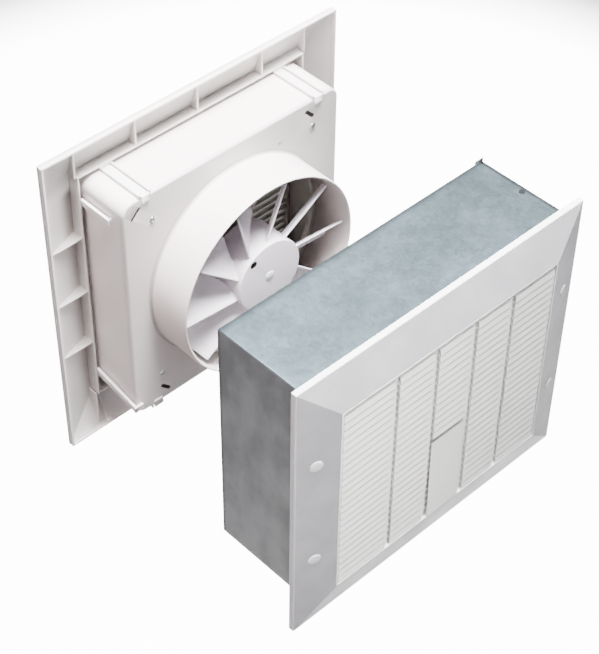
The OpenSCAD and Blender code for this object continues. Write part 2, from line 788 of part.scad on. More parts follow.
// Plain bush
module bush(y0) {
    difference() {
        bar_y(bearing_d / 2, y0, y0 + bearing_l);
        bar_y(shaft_d / 2 + shaft_clear, y0 - past, y0 + bearing_l + past);
    }
}

module front_bearing() color("goldenrod") bush(front_bearing_y);

module rear_bearing() color("goldenrod") bush(rear_bearing_y);

// Bolts that clamp the shells and the stator to the spider
module motor_bolts() color(steel) at_motor_bolts() {
    bar_y(motor_bolt_d / 2, spider_y - motor_bolt_d, motor_end_y + past);
    bar_y(motor_bolt_d, motor_end_y, motor_end_y + motor_bolt_d * 0.7);
}

// Nuts on the bolts, in front of the spider
module motor_nuts() color(steel) at_motor_bolts() difference() {
    bar_y(motor_bolt_d, spider_y - motor_bolt_d * 0.8, spider_y, $fn = 6);
    bar_y(motor_bolt_d / 2, spider_y - motor_bolt_d, spider_y + past);
}

// Box for the mains terminals on the floor of the plinth
module terminal_box() color(white) translate([box_x, box_y, box_z]) difference() {
    block(box_w, box_h, 0, box_depth);
    block(box_w - 2 * box_wall, box_h - 2 * box_wall, box_wall, box_depth + past);
    bar_y(grommet_d / 2 - 2, -past, box_wall + past);
}

// Two-way terminal block inside the box
module terminal_block() color(ivory) translate([box_x, box_y + box_wall, block_z]) difference() {
    block(block_w, block_h, 0, block_depth);
    for (x = [-block_w / 4, block_w / 4]) {
        translate([x, 0, 0]) bar_y(block_h / 5, block_depth / 2, block_depth + past);
        translate([x, block_depth / 3, -block_h]) cylinder(h = block_h, r = block_h / 5);
    }
}

// Lid of the terminal box
module terminal_cover() color(white) translate([box_x, box_y + box_depth, box_z]) {
    lip = box_wall / 2;
    block(box_w, box_h, 0, box_wall);
    frame_ring(box_w - 2 * box_wall - 2 * fit_gap, box_h - 2 * box_wall - 2 * fit_gap, lip,
               -box_wall, lip);
}

// Grommet that lines the cable entry through the plinth back
module cable_grommet() color(dark) translate([box_x, 0, grommet_z]) {
    lip_t = 0.8;
    difference() {
        union() {
            bar_y(grommet_d / 2, back_y - lip_t, inside_y + lip_t);
            bar_y(grommet_lip_r, back_y - lip_t, back_y);
            bar_y(grommet_lip_r, inside_y, inside_y + lip_t);
        }
        bar_y(grommet_d / 2 - 2, back_y - lip_t - past, inside_y + lip_t + past);
    }
}

// Run capacitor on the floor of the plinth
module run_capacitor() color(ivory)
    translate([-box_x - capacitor_l / 2, capacitor_y, capacitor_z]) rotate([0, 90, 0]) {
        cylinder(h = capacitor_l, r = capacitor_r);
        translate([0, 0, capacitor_l]) cylinder(h = 3, r = capacitor_r / 2);
    }

// Bridge strap that holds the capacitor to the floor of the plinth
module capacitor_strap() color(steel) translate([0, capacitor_y, capacitor_z]) {
    outer = capacitor_r + strap_t;
    along_x(-box_x - strap_w / 2, -box_x + strap_w / 2) {
        difference() {
            union() {
                circle(r = outer);
                translate([-outer, -capacitor_r]) square([2 * outer, capacitor_r]);
            }
            circle(r = capacitor_r);
            translate([-capacitor_r, -2 * capacitor_r]) square([2 * capacitor_r, 2 * capacitor_r]);
        }
        for (y = [-outer - strap_foot, outer])
            translate([y, -capacitor_r]) square([strap_foot, strap_t]);
    }
}

// Cambered section of a blade in Y and Z, centred on the middle of its chord
module blade_section() {
    chord = blade_depth / sin(blade_pitch);
    sag = camber_r - sqrt(camber_r * camber_r - chord * chord / 4);
    rotate(blade_pitch - 90) translate([0, sag / 2]) intersection() {
        translate([0, -camber_r]) difference() {
            circle(r = camber_r + blade_t / 2, $fn = 200);
            circle(r = camber_r - blade_t / 2, $fn = 200);
        }
        square([chord, 4 * sag], center = true);
    }
}

// One blade that points along +X from the wall of the hub, trimmed to the tip circle
module blade() {
    cup_r = hub_d / 2;
    flare_y = blade_y + blade_root_depth;
    full_y = blade_y + blade_depth + past;
    difference() {
        intersection() {
            translate([0, blade_y + blade_depth / 2, 0]) along_x(cup_r - hub_wall, tip_r) blade_section();
            bar_y(tip_r, blade_y - blade_depth, blade_y + 2 * blade_depth, $fn = 160);
        }
        linear_extrude(height = 2 * cup_r, center = true)
            polygon([[0, flare_y], [cup_r, flare_y], [cup_r + blade_flare, full_y], [0, full_y]]);
    }
}

// Impeller: hub cup with pitched and cambered blades, all one moulding
module impeller() color(white) {
    cup_r = hub_d / 2;
    sleeve_r = shaft_d / 2 + 2 * hub_wall;
    difference() {
        union() {
            difference() {
                bar_y(cup_r, hub_face_y, hub_face_y + hub_l);
                bar_y(cup_r - hub_wall, hub_face_y + hub_wall, hub_face_y + hub_l + past);
            }
            bar_y(sleeve_r, hub_face_y, hub_face_y + hub_l);
            for (a = [0 : 60 : 300]) rotate([0, a, 0])
                translate([sleeve_r - past, hub_face_y + hub_wall / 2, -hub_wall / 2])
                    cube([cup_r - sleeve_r, hub_l / 2, hub_wall]);
        }
        bar_y(shaft_d / 2, hub_face_y - past, hub_face_y + hub_l + past);
        rotate([0, -135, 0]) translate([cup_r * 0.85, 0, 0])
            bar_y(hub_wall * 1.2, hub_face_y - past, hub_face_y + hub_wall + past);
    }
    difference() {
        for (i = [0 : blade_count - 1])
            rotate([0, -blade_start - i * 360 / blade_count, 0]) blade();
        bar_y(cup_r - hub_wall / 2, hub_face_y - past, hub_face_y + hub_l + past);
    }
}

// Small cap over the end of the shaft
module hub_cap() color(ivory) {
    cap_r = shaft_d * 0.75;
    difference() {
        bar_y(cap_r, hub_face_y - 1.5, hub_face_y);
        bar_y(shaft_d / 2, hub_face_y - 0.75, hub_face_y + past);
    }
}

module motor_shaft() color(steel)
    bar_y(shaft_d / 2, hub_face_y, motor_end_y - shell_wall - fit_gap);

// Rotor core on the shaft
module rotor_core() color(dark) difference() {
    bar_y(rotor_r, stator_y, rear_shell_y);
    bar_y(shaft_d / 2, stator_y - past, rear_shell_y + past);
}

// Spring rings that keep the hub and the rotor in place on the shaft
module shaft_clips() color(steel)
    for (y = [hub_face_y + hub_l, stator_y - 1, rear_shell_y]) difference() {
        bar_y(shaft_d / 2 + 2, y, y + 1);
        bar_y(shaft_d / 2, y - past, y + past * 2);
    }

grille_frame();
louvre_panel();
screw_caps();
grille_screws();
wall_sleeve();
seam_rivets();
plinth();
inlet_ring();
inlet_ring_screws();
fascia();
intake_louvres();
strap_clips();
side_arms();
motor_spider();
spider_screws();
motor_front_shell();
stator_stack();
motor_rear_shell();
front_bearing();
rear_bearing();
motor_bolts();
motor_nuts();
terminal_box();
terminal_block();
terminal_cover();
cable_grommet();
run_capacitor();
capacitor_strap();
impeller();
hub_cap();
motor_shaft();
rotor_core();
shaft_clips();
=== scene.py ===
"""Dresses the wall exhaust fan: the fan unit and, pulled apart from it, the wall sleeve with its grille.

Everything is in metres, with +Z up, the fan axis along Y, outdoors at -Y and the outer wall face at y = 0.
"""

import logging
import math
from dataclasses import dataclass, field
from enum import Enum
from typing import Iterable, Sequence

import bmesh
import bpy
from mathutils import Matrix, Vector, noise


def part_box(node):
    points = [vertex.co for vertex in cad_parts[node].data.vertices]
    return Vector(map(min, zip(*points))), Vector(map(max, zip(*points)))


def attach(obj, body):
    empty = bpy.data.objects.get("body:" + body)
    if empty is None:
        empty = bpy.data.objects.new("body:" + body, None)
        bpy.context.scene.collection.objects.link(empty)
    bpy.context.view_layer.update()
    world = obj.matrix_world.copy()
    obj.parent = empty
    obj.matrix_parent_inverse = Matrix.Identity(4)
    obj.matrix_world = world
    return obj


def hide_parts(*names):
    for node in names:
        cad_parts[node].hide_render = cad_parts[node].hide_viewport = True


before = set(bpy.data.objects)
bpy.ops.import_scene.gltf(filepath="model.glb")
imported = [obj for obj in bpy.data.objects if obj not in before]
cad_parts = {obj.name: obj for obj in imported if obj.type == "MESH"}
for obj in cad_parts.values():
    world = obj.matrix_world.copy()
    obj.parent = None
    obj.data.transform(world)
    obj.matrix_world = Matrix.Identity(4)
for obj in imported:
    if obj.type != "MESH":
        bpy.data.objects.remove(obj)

LOG = logging.getLogger("wall_fan")
MM = 0.001
EVEN = ("WEIGHTED_NORMAL", {"weight": 60})
Colour = tuple[float, float, float]
Ring = list[Vector]


class Body(Enum):
    """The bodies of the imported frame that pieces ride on."""

    WALL = "wall_side"
    FAN = "fan_unit"
    ROTOR = "impeller"


class Slot(Enum):
    """The material slots of the record."""

    WHITE = "white_plastic"
    IVORY = "ivory_plastic"
    BLADE = "impeller_plastic"
    ZINC = "galvanised_sheet"
    STEEL = "plated_steel"


class Signal:
    """A shader socket with the arithmetic of Math nodes."""

    def __init__(self, graph: "ShaderGraph", socket: bpy.types.NodeSocket) -> None:
        """Keeps the socket and the graph that new Math nodes go into."""
        self.graph = graph
        self.socket = socket

    def math(self, operation: str, *values: "Signal | float") -> "Signal":
        """Adds one Math node with the values as its inputs, in order, and returns its result."""
        return self.graph.node("ShaderNodeMath", {"operation": operation}, dict(enumerate(values)))

    def __add__(self, other: "Signal | float") -> "Signal":
        """Returns self + other."""
        return self.math("ADD", self, other)

    __radd__ = __add__

    def __sub__(self, other: "Signal | float") -> "Signal":
        """Returns self - other."""
        return self.math("SUBTRACT", self, other)

    def __rsub__(self, other: float) -> "Signal":
        """Returns other - self."""
        return self.math("SUBTRACT", other, self)

    def __mul__(self, other: "Signal | float") -> "Signal":
        """Returns self * other."""
        return self.math("MULTIPLY", self, other)

    __rmul__ = __mul__

    def length(self, other: "Signal") -> "Signal":
        """Returns the square root of the sum of both squares."""
        squares = self * self + other * other
        return squares.math("SQRT", squares)

    def ramp(self, low: float, high: float) -> "Signal":
        """Adds a smooth step, clamped at both ends.

        Args:
            low: Where it is 0.
            high: Where it is 1, which may be below low.

        Returns:
            The step as a signal.
        """
        settings = {"interpolation_type": "SMOOTHSTEP"}
        inputs = {"Value": self, "From Min": low, "From Max": high}
        return self.graph.node("ShaderNodeMapRange", settings, inputs, "Result")


class ShaderGraph:
    """One material's node tree around a Principled shader."""

    def __init__(self, name: str) -> None:
        """Starts an empty material with its shader and output.

        Args:
            name: The material's name.
        """
        self.material = bpy.data.materials.new(name)
        self.material.use_nodes = True
        self.nodes = self.material.node_tree.nodes
        self.links = self.material.node_tree.links
        self.nodes.clear()
        self.shader = self.nodes.new("ShaderNodeBsdfPrincipled")
        output = self.nodes.new("ShaderNodeOutputMaterial")
        self.links.new(self.shader.outputs["BSDF"], output.inputs["Surface"])
        self.place = self.node("ShaderNodeTexCoord", {}, {}, "Object")

    def node(self, kind: str, settings: dict, inputs: dict, output: str | int = 0) -> Signal:
        """Adds any node.

        Args:
            kind: The node's type.
            settings: Its properties, which are set first.
            inputs: Values or signals by socket name or number.
            output: The name or number of the socket that is returned.

        Returns:
            That output as a signal.
        """
        node = self.nodes.new(kind)
        for key, value in settings.items():
            setattr(node, key, value)
        for key, value in inputs.items():
            if isinstance(value, Signal):
                self.links.new(value.socket, node.inputs[key])
            else:
                node.inputs[key].default_value = value
        return Signal(self, node.outputs[output])

    def stretched(self, scale: Sequence[float]) -> Signal:
        """Returns the object coordinates multiplied by a scale for each axis."""
        return self.node("ShaderNodeMapping", {}, {"Vector": self.place, "Scale": tuple(scale)})

    def cloud(self, scale: float, detail: float = 2.0, stretch: Sequence[float] = (1, 1, 1)) -> Signal:
        """Adds soft noise.

        Args:
            scale: Features in each metre.
            detail: Octaves of finer noise.
            stretch: Extra scale for each axis.

        Returns:
            The noise, from 0 to 1.
        """
        inputs = {"Vector": self.stretched(stretch), "Scale": scale, "Detail": detail}
        return self.node("ShaderNodeTexNoise", {}, inputs, 0)

    def crystal(self, scale: float, output: str = "Distance") -> Signal:
        """Returns a Voronoi pattern with that many cells in each metre."""
        return self.node("ShaderNodeTexVoronoi", {}, {"Vector": self.place, "Scale": scale}, output)

    def axis(self, letter: str) -> Signal:
        """Returns one object coordinate in metres."""
        return self.node("ShaderNodeSeparateXYZ", {}, {"Vector": self.place}, letter.upper())

    def radius(self) -> Signal:
        """Returns the distance from the fan axis in metres."""
        return self.axis("x").length(self.axis("z"))

    def facing(self, letter: str) -> Signal:
        """Returns one component of the surface normal."""
        normal = self.node("ShaderNodeNewGeometry", {}, {}, "Normal")
        return self.node("ShaderNodeSeparateXYZ", {}, {"Vector": normal}, letter.upper())

    def tint(self, factor: Signal, first: "Signal | Colour", second: "Signal | Colour") -> Signal:
        """Mixes two colours.

        Args:
            factor: 0 for the first, 1 for the second.
            first: A colour or a signal.
            second: A colour or a signal.

        Returns:
            The mixed colour.
        """
        colours = [c if isinstance(c, Signal) else (*c, 1.0) for c in (first, second)]
        inputs = {"Factor": factor, 6: colours[0], 7: colours[1]}
        return self.node("ShaderNodeMix", {"data_type": "RGBA"}, inputs, 2)

    def set(self, **values: "Signal | float | Colour") -> None:
        """Sets or links the shader's own sockets.

        Args:
            values: A value or a signal for each socket, with spaces written as underscores.
        """
        for key, value in values.items():
            socket = self.shader.inputs[key.replace("_", " ")]
            if isinstance(value, Signal):
                self.links.new(value.socket, socket)
            else:
                socket.default_value = value

    def relief(self, height: Signal, strength: float, distance: float) -> None:
        """Feeds a height, in units of distance, to the shader's normal through a Bump node."""
        inputs = {"Height": height, "Strength": strength, "Distance": distance}
        self.set(Normal=self.node("ShaderNodeBump", {}, inputs))


@dataclass(frozen=True)
class ShadeAndDirt:
    """A zone of a surface painted a darker colour, between soft limits of its coordinates: painted shade in most
    finishes, dust in a few.
    """

    colour: Colour
    strength: float
    limits: tuple[tuple[str, float, float], ...]

    def cover(self, graph: ShaderGraph) -> Signal:
        """Works out how much of the surface is covered.

        Each limit names x, y, z, r, the distance from the fan axis, or up or right, how far the surface
        faces that way, with the value where it is still bare and the value where it is fully covered.

        Args:
            graph: The material's node tree.

        Returns:
            The cover, from 0 to a little over 1, where the mix of colours clamps it.
        """
        cover = graph.cloud(32.0, 4.0) * (0.5 * self.strength) + 0.75 * self.strength
        places = {"r": graph.radius, "up": lambda: graph.facing("z"), "right": lambda: graph.facing("x")}
        for name, bare, covered in self.limits:
            place = places[name]() if name in places else graph.axis(name)
            cover = cover * place.ramp(bare, covered)
        return cover


@dataclass(frozen=True)
class MouldedPlastic:
    """Injection-moulded plastic with a fine grain, faint flow marks, a little settled dust and listed darker zones,
    most of them painted shade.
    """

    name: str
    tint: Colour = (0.83, 0.80, 0.79)
    shade: Colour = (0.76, 0.72, 0.71)
    dust: Colour = (0.50, 0.47, 0.44)
    roughness: float = 0.36
    grain: float = 0.10
    shade_and_dirt: tuple[ShadeAndDirt, ...] = ()

    def build(self) -> bpy.types.Material:
        """Builds the material.

        Returns:
            The finished material.
        """
        graph = ShaderGraph(self.name)
        mottle = graph.cloud(11.0, 4.0).ramp(0.38, 0.70)
        flow = graph.cloud(7.0, 3.0, (1.0, 3.5, 0.6)).ramp(0.35, 0.75)
        colour = graph.tint(mottle * 0.55 + flow * 0.35, self.tint, self.shade)
        specks = 1.0 - graph.crystal(230.0).ramp(0.05, 0.16)
        settled = graph.facing("z").ramp(0.55, 0.95) * graph.cloud(38.0, 5.0).ramp(0.42, 0.80)
        colour = graph.tint(specks * 0.10 + settled * 0.12, colour, self.dust)
        # Each listed zone paints a darker colour over the moulding: painted shade in most finishes, dust in a few.
        for zone in self.shade_and_dirt:
            colour = graph.tint(zone.cover(graph), colour, zone.colour)
        smear = graph.cloud(24.0, 4.0, (1.0, 1.0, 2.2))
        graph.set(Base_Color=colour, Roughness=self.roughness + (smear - 0.5) * 0.22 + settled * 0.12)
        graph.set(IOR=1.53, Coat_Roughness=0.25, Subsurface_Weight=0.0)
        graph.relief(graph.cloud(1500.0, 2.0) * 0.6 + graph.cloud(160.0, 2.0) * 0.4, self.grain, 0.3 * MM)
        return graph.material


@dataclass(frozen=True)
class GalvanisedSheet:
    """Hot-dip galvanised sheet: cloudy zinc with a crystal spangle and faint rolling lines, painted with light and
    shade: faces that look up get a dark blue-grey and the sides a much lighter streaked grey.
    """

    name: str
    pale: Colour = (0.315, 0.425, 0.475)
    deep: Colour = (0.255, 0.355, 0.40)
    stain: Colour = (0.34, 0.40, 0.42)
    # Tones of the side faces: painted light and shade, not another metal.
    side: Colour = (0.80, 0.78, 0.765)
    side_stain_and_shade: Colour = (0.52, 0.505, 0.49)
    edge: Colour = (0.10, 0.11, 0.12)
    edge_x: tuple[float, float] = (0.1785, 0.1815)
    edge_y: tuple[float, float] = (0.1110, 0.1145)
    metallic: float = 1.0

    def build(self) -> bpy.types.Material:
        """Builds the material.

        Returns:
            The finished material.
        """
        graph = ShaderGraph(self.name)
        patches = graph.cloud(19.0, 5.0).ramp(0.36, 0.66)
        wide = graph.cloud(6.0, 2.0).ramp(0.35, 0.68)
        spangle, glint = (
            graph.node("ShaderNodeSeparateColor", {}, {"Color": graph.crystal(scale, "Color")}, channel)
            for scale, channel in ((150.0, "Red"), (420.0, "Green")))
        rolled = graph.cloud(26.0, 3.0, (1.0, 0.12, 1.0)).ramp(0.40, 0.72)
        base = graph.tint(patches * 0.50 + wide * 0.40 + spangle * 0.06, self.deep, self.pale)
        base = graph.tint(rolled * 0.16 + glint * 0.06, base, self.stain)
        # Painted light and shade: the sides get their own streaked tone.
        streaks = graph.cloud(24.0, 5.0, (1.0, 1.0, 0.55)).ramp(0.34, 0.66)
        side = graph.tint(streaks, self.side_stain_and_shade, self.side)
        # Blends from the top's tone to the sides' painted tone by how far a face looks up.
        upward = graph.facing("z").ramp(0.3, 0.8)
        base = graph.tint(0.85 - upward * 0.85, base, side)
        # Darker along the right-hand edge of the top and along the back edge.
        dark_edges = graph.axis("x").ramp(*self.edge_x) * upward * 0.75
        dark_edges += graph.axis("y").ramp(*self.edge_y) * 0.45
        base = graph.tint(dark_edges * graph.cloud(70.0, 3.0).ramp(0.15, 0.45), base, self.edge)
        graph.set(Base_Color=base, Metallic=self.metallic)
        graph.set(Roughness=0.30 + patches * 0.02 + (spangle - 0.5) * 0.02 + (glint - 0.5) * 0.02)
        dents = graph.cloud(9.0, 2.0)
        graph.relief(spangle * 0.03 + glint * 0.02 + dents * 1.4, 0.2, 0.5 * MM)
        return graph.material


@dataclass(frozen=True)
class Metal:
    """Bare or plated metal with a directional finish and slight tarnish."""

    name: str
    bright: Colour
    tarnish: Colour
    roughness: float = 0.32
    lines: Sequence[float] = (1.0, 14.0, 1.0)
    line_scale: float = 160.0
    texture: float = 0.20

    def build(self) -> bpy.types.Material:
        """Builds the material.

        Returns:
            The finished material.
        """
        graph = ShaderGraph(self.name)
        brushed = graph.cloud(self.line_scale, 3.0, self.lines)
        spots = graph.cloud(90.0, 4.0).ramp(0.45, 0.78)
        graph.set(Base_Color=graph.tint(spots * 0.7 + brushed * 0.2, self.bright, self.tarnish))
        graph.set(Metallic=1.0, Roughness=self.roughness + (brushed - 0.5) * 0.25 + spots * 0.10)
        graph.relief(brushed, self.texture, 0.1 * MM)
        return graph.material


@dataclass(frozen=True)
class Rubber:
    """Matt black rubber with a bloom on it."""

    name: str
    black: Colour = (0.018, 0.018, 0.019)
    bloom: Colour = (0.070, 0.070, 0.072)

    def build(self) -> bpy.types.Material:
        """Builds the material.

        Returns:
            The finished material.
        """
        graph = ShaderGraph(self.name)
        haze = graph.cloud(120.0, 4.0).ramp(0.4, 0.75)
        graph.set(Base_Color=graph.tint(haze, self.black, self.bloom), Roughness=0.62 + haze * 0.2)
        graph.relief(graph.cloud(900.0, 2.0), 0.2, 0.2 * MM)
        return graph.material


Recipe = MouldedPlastic | GalvanisedSheet | Metal | Rubber


class Draft:
    """Collects the closed solids of one piece and turns them into an object."""

    DOUBLE = 2e-6
    SLIVER = 1e-7

    def __init__(self) -> None:
        """Starts with nothing."""
        self.mesh = bmesh.new()

    def loft(self, rings: Sequence[Ring], endless: bool = False) -> "Draft":
        """Joins rings of equal length with quads.

        Args:
            rings: The rings, in order along the surface.
            endless: Joins the last ring to the first; otherwise both get a cap.

        Returns:
            This draft.
        """
        rows = [[self.mesh.verts.new(p) for p in ring] for ring in rings]
        pairs = list(zip(rows, rows[1:]))
        if endless:
            pairs.append((rows[-1], rows[0]))
        for one, two in pairs:
            for i, vert in enumerate(one):
                j = (i + 1) % len(one)
                self.mesh.faces.new((vert, one[j], two[j], two[i]))
        if not endless:
            self.mesh.faces.new(rows[0])
            self.mesh.faces.new(list(reversed(rows[-1])))
        return self

    def block(self, low: Sequence[float], high: Sequence[float]) -> "Draft":
        """Adds a rectangular block from its lowest to its highest corner."""
        outline = [(low[0], low[2]), (high[0], low[2]), (high[0], high[2]), (low[0], high[2])]
        return self.prism(outline, low[1], high[1], "xzy")

    def prism(self, outline: Sequence[Sequence[float]], low: float, high: float, order: str) -> "Draft":
        """Adds a prism.

        Args:
            outline: Its outline in two coordinates.
            low: Where it starts along its length.
            high: Where it ends.
            order: The letters of the outline's two axes and of the length's axis.

        Returns:
            This draft.
        """
        places = [order.index(letter) for letter in "xyz"]
        return self.loft([[Vector([(u, v, w)[i] for i in places]) for u, v in outline] for w in (low, high)])

    def lathe(self, profile: Sequence[Sequence[float]], steps: int) -> "Draft":
        """Revolves a closed profile about the fan axis.

        Args:
            profile: Pairs of radius and Y; a radius of 0 becomes one point on the axis.
            steps: Points round the axis.

        Returns:
            This draft.
        """
        tiny = 1e-6
        rings = [circle(max(r, tiny), y, steps) for r, y in profile]
        return self.loft(rings, endless=profile[0][0] > tiny)

    def add(self, other: bpy.types.Mesh) -> "Draft":
        """Adds a copy of another mesh."""
        self.mesh.from_mesh(other)
        return self

    def finish(self, name: str) -> bpy.types.Object:
        """Merges doubles and turns the faces outwards.

        Args:
            name: The object's name.

        Returns:
            An object with the mesh, at the origin.
        """
        bmesh.ops.remove_doubles(self.mesh, verts=self.mesh.verts[:], dist=self.DOUBLE)
        bmesh.ops.dissolve_degenerate(self.mesh, edges=self.mesh.edges[:], dist=self.SLIVER)
        bmesh.ops.recalc_face_normals(self.mesh, faces=self.mesh.faces[:])
        data = bpy.data.meshes.new(name)
        self.mesh.to_mesh(data)
        self.mesh.free()
        data.shade_smooth()
        made = bpy.data.objects.new(name, data)
        bpy.context.scene.collection.objects.link(made)
        return made


def circle(radius: float, y: float, steps: int, centre: Vector = Vector((0, 0, 0))) -> Ring:
    """Returns a circle about an axis along Y, counted from +X towards +Z."""
    angles = [math.tau * i / steps for i in range(steps)]
    return [centre + Vector((radius * math.cos(a), y, radius * math.sin(a))) for a in angles]


def arc(steps: int, whole: float = math.pi / 2) -> list[float]:
    """Returns the angles from 0 to a whole one, a quarter turn unless told, in even steps."""
    return [whole * i / steps for i in range(steps + 1)]


def dome(radius: float, foot: float, rise: float, steps: int, power: float = 1.0) -> list[tuple[float, float]]:
    """Works out the profile of a dome that rises towards -Y.

    Args:
        radius: Its radius.
        foot: Y of its rim.
        rise: Its height.
        steps: Steps from the rim to the tip.
        power: Less than 1 gives it a flatter crown.

    Returns:
        Pairs of radius and Y, from its rim to its tip.
    """
    rim = [(radius * math.cos(a), foot - rise * math.sin(a) ** power) for a in arc(steps)[:-1]]
    return [*rim, (0.0, foot - rise)]


def rounded(half_w: float, half_h: float, y: float, radius: float = 0.0, lift: float = 0.0,
            steps: int = 8, spacing: float = 1.0) -> Ring:
    """Works out a rectangle in a plane of equal Y, with rounded corners and evenly divided sides.

    Args:
        half_w: Half its width.
        half_h: Half its height.
        y: Its place along the axis.
        radius: Its corner radius; 0 gives single corner points.
        lift: Height of its centre.
        steps: Steps in each rounded corner.
        spacing: Longest step along a side, in metres at the outer size.

    Returns:
        The points, from the upper right corner on through the upper left.
    """
    quarters = [(1, 1), (-1, 1), (-1, -1), (1, -1)]

    def spot(quarter: int, turns: float) -> Vector:
        """Returns the point of a corner's rounding after that many quarter turns."""
        (sx, sz), angle = quarters[quarter % 4], math.pi / 2 * turns
        return Vector((sx * (half_w - radius) + radius * math.cos(angle), y,
                       sz * (half_h - radius) + radius * math.sin(angle) + lift))

    points: Ring = []
    for quarter in range(4):
        turns = [quarter + step / steps for step in range(steps + 1)] if radius else [quarter + 0.5]
        points += [spot(quarter, turn) for turn in turns]
        last, following = points[-1], spot(quarter + 1, quarter + 1)
        parts = max(1, math.ceil(2 * (half_h if quarter % 2 else half_w) / spacing))
        points += [last.lerp(following, i / parts) for i in range(1, parts)]
    return points


def shaped(seed: bpy.types.Object, modifiers: Iterable[tuple[str, dict]]) -> bpy.types.Object:
    """Applies modifiers to an object by baking the result into its mesh.

    Args:
        seed: The object.
        modifiers: The type and the settings of each modifier, in order.

    Returns:
        The same object, with a plain mesh and no modifier.
    """
    for kind, settings in modifiers:
        modifier = seed.modifiers.new(kind.lower(), kind)
        for key, value in settings.items():
            setattr(modifier, key, value)
    graph = bpy.context.evaluated_depsgraph_get()
    graph.update()
    data = bpy.data.meshes.new_from_object(seed.evaluated_get(graph), depsgraph=graph)
    seed.modifiers.clear()
    seed.data = data
    return seed


def softened(seed: bpy.types.Object, width: float, segments: int = 2, limit: float = 28.0) -> bpy.types.Object:
    """Rounds every edge sharper than a limit and evens out the normals.

    Args:
        seed: The object.
        width: Width of the rounding, in metres.
        segments: Steps across it.
        limit: The limit, in degrees.

    Returns:
        The same object.
    """
    bevel = {"width": width, "segments": segments, "limit_method": "ANGLE",
             "angle_limit": math.radians(limit), "miter_outer": "MITER_ARC"}
    return shaped(seed, [("BEVEL", bevel), EVEN])


def creased(seed: bpy.types.Object, limit: float) -> bpy.types.Object:
    """Makes every edge sharper than a limit in degrees a hard one."""
    seed.data.set_sharp_from_angle(angle=math.radians(limit))
    return seed


def cut(seed: bpy.types.Object, cutter: bpy.types.Object) -> bpy.types.Object:
    """Takes the cutter's solids out of an object and deletes the cutter.

    Args:
        seed: The object.
        cutter: The object with the solids to take out.

    Returns:
        The same object.
    """
    shaped(seed, [("BOOLEAN", {"operation": "DIFFERENCE", "object": cutter, "solver": "EXACT"})])
    bpy.data.objects.remove(cutter)
    return seed


def merged(name: str, parts: Iterable[bpy.types.Object]) -> bpy.types.Object:
    """Makes one object of the meshes of several, which are deleted.

    Args:
        name: The new object's name.
        parts: The objects.

    Returns:
        The new object.
    """
    whole = Draft()
    for part in parts:
        whole.add(part.data)
        bpy.data.objects.remove(part)
    return whole.finish(name)


def walled(name: str, steps: Iterable[Sequence[float]], *rounding: float) -> bpy.types.Object:
    """Makes a frame whose section runs through upright rectangles.

    Args:
        name: Its name.
        steps: Half width, half height, Y and height of the centre of each rectangle, round the section.
        rounding: Width, segments and limit of the softened edges.

    Returns:
        The frame with softened edges.
    """
    rings = [rounded(half_w, half_h, y, lift=lift) for half_w, half_h, y, lift in steps]
    return softened(Draft().loft(rings, endless=True).finish(name), *rounding)


def extent(node: str) -> tuple[Vector, Vector, Vector, Vector]:
    """Returns the lowest and highest corner, the middle and half the size of a node's box."""
    low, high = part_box(node)
    return low, high, (low + high) / 2, (high - low) / 2


class CopyTree:
    """A Geometry Nodes tree that sets copies of the modified object's own mesh."""

    KINDS = {int: "NodeSocketInt", float: "NodeSocketFloat", tuple: "NodeSocketVector"}

    def __init__(self, name: str, inputs: dict[str, int | float | tuple]) -> None:
        """Starts the tree.

        Args:
            name: Its name.
            inputs: Its named inputs with their usual values.
        """
        self.tree = bpy.data.node_groups.new(name, "GeometryNodeTree")
        face = self.tree.interface
        for way in ("OUTPUT", "INPUT"):
            face.new_socket("Geometry", in_out=way, socket_type="NodeSocketGeometry")
        self.identifiers: dict[str, str] = {}
        for key, value in inputs.items():
            socket = face.new_socket(key, in_out="INPUT", socket_type=self.KINDS[type(value)])
            socket.default_value = value
            self.identifiers[key] = socket.identifier
        paint = face.new_socket("Material", in_out="INPUT", socket_type="NodeSocketMaterial")
        self.identifiers["Material"] = paint.identifier
        self.given = self.tree.nodes.new("NodeGroupInput").outputs

    def node(self, kind: str, inputs: dict, **settings: str) -> bpy.types.NodeSocket:
        """Adds a node.

        Args:
            kind: The node's type.
            inputs: Values or sockets by name or number.
            settings: Its properties.

        Returns:
            The node's first output, or None if it has none.
        """
        node = self.tree.nodes.new(kind)
        for key, value in settings.items():
            setattr(node, key, value)
        for key, value in inputs.items():
            if isinstance(value, bpy.types.NodeSocket):
                self.tree.links.new(value, node.inputs[key])
            else:
                node.inputs[key].default_value = value
        return node.outputs[0] if node.outputs else None

    def close(self, points: bpy.types.NodeSocket, **extra: bpy.types.NodeSocket) -> "CopyTree":
        """Ends the tree: sets a copy on each point, makes the copies real and gives them their material.

        Args:
            points: The places of the copies.
            extra: More inputs of the node that sets the copies.

        Returns:
            This tree.
        """
        places = {"Points": points, "Instance": self.given["Geometry"], **extra}
        copies = self.node("GeometryNodeInstanceOnPoints", places)
        real = self.node("GeometryNodeRealizeInstances", {"Geometry": copies})
        painted = self.node("GeometryNodeSetMaterial", {"Geometry": real, "Material": self.given["Material"]})
        self.node("NodeGroupOutput", {"Geometry": painted})
        return self

    def run(self, seed: bpy.types.Object, **values: int | float | tuple | bpy.types.Material) -> bpy.types.Object:
        """Copies a seed object's mesh as the tree says.

        Args:
            seed: The object that holds one copy.
            values: The tree's inputs, its material among them, with spaces written as underscores.

        Returns:
            The seed object, whose plain mesh now holds all copies.
        """
        modifier = seed.modifiers.new(self.tree.name, "NODES")
        modifier.node_group = self.tree
        for key, value in values.items():
            modifier[self.identifiers[key.replace("_", " ")]] = value
        return shaped(seed, [])


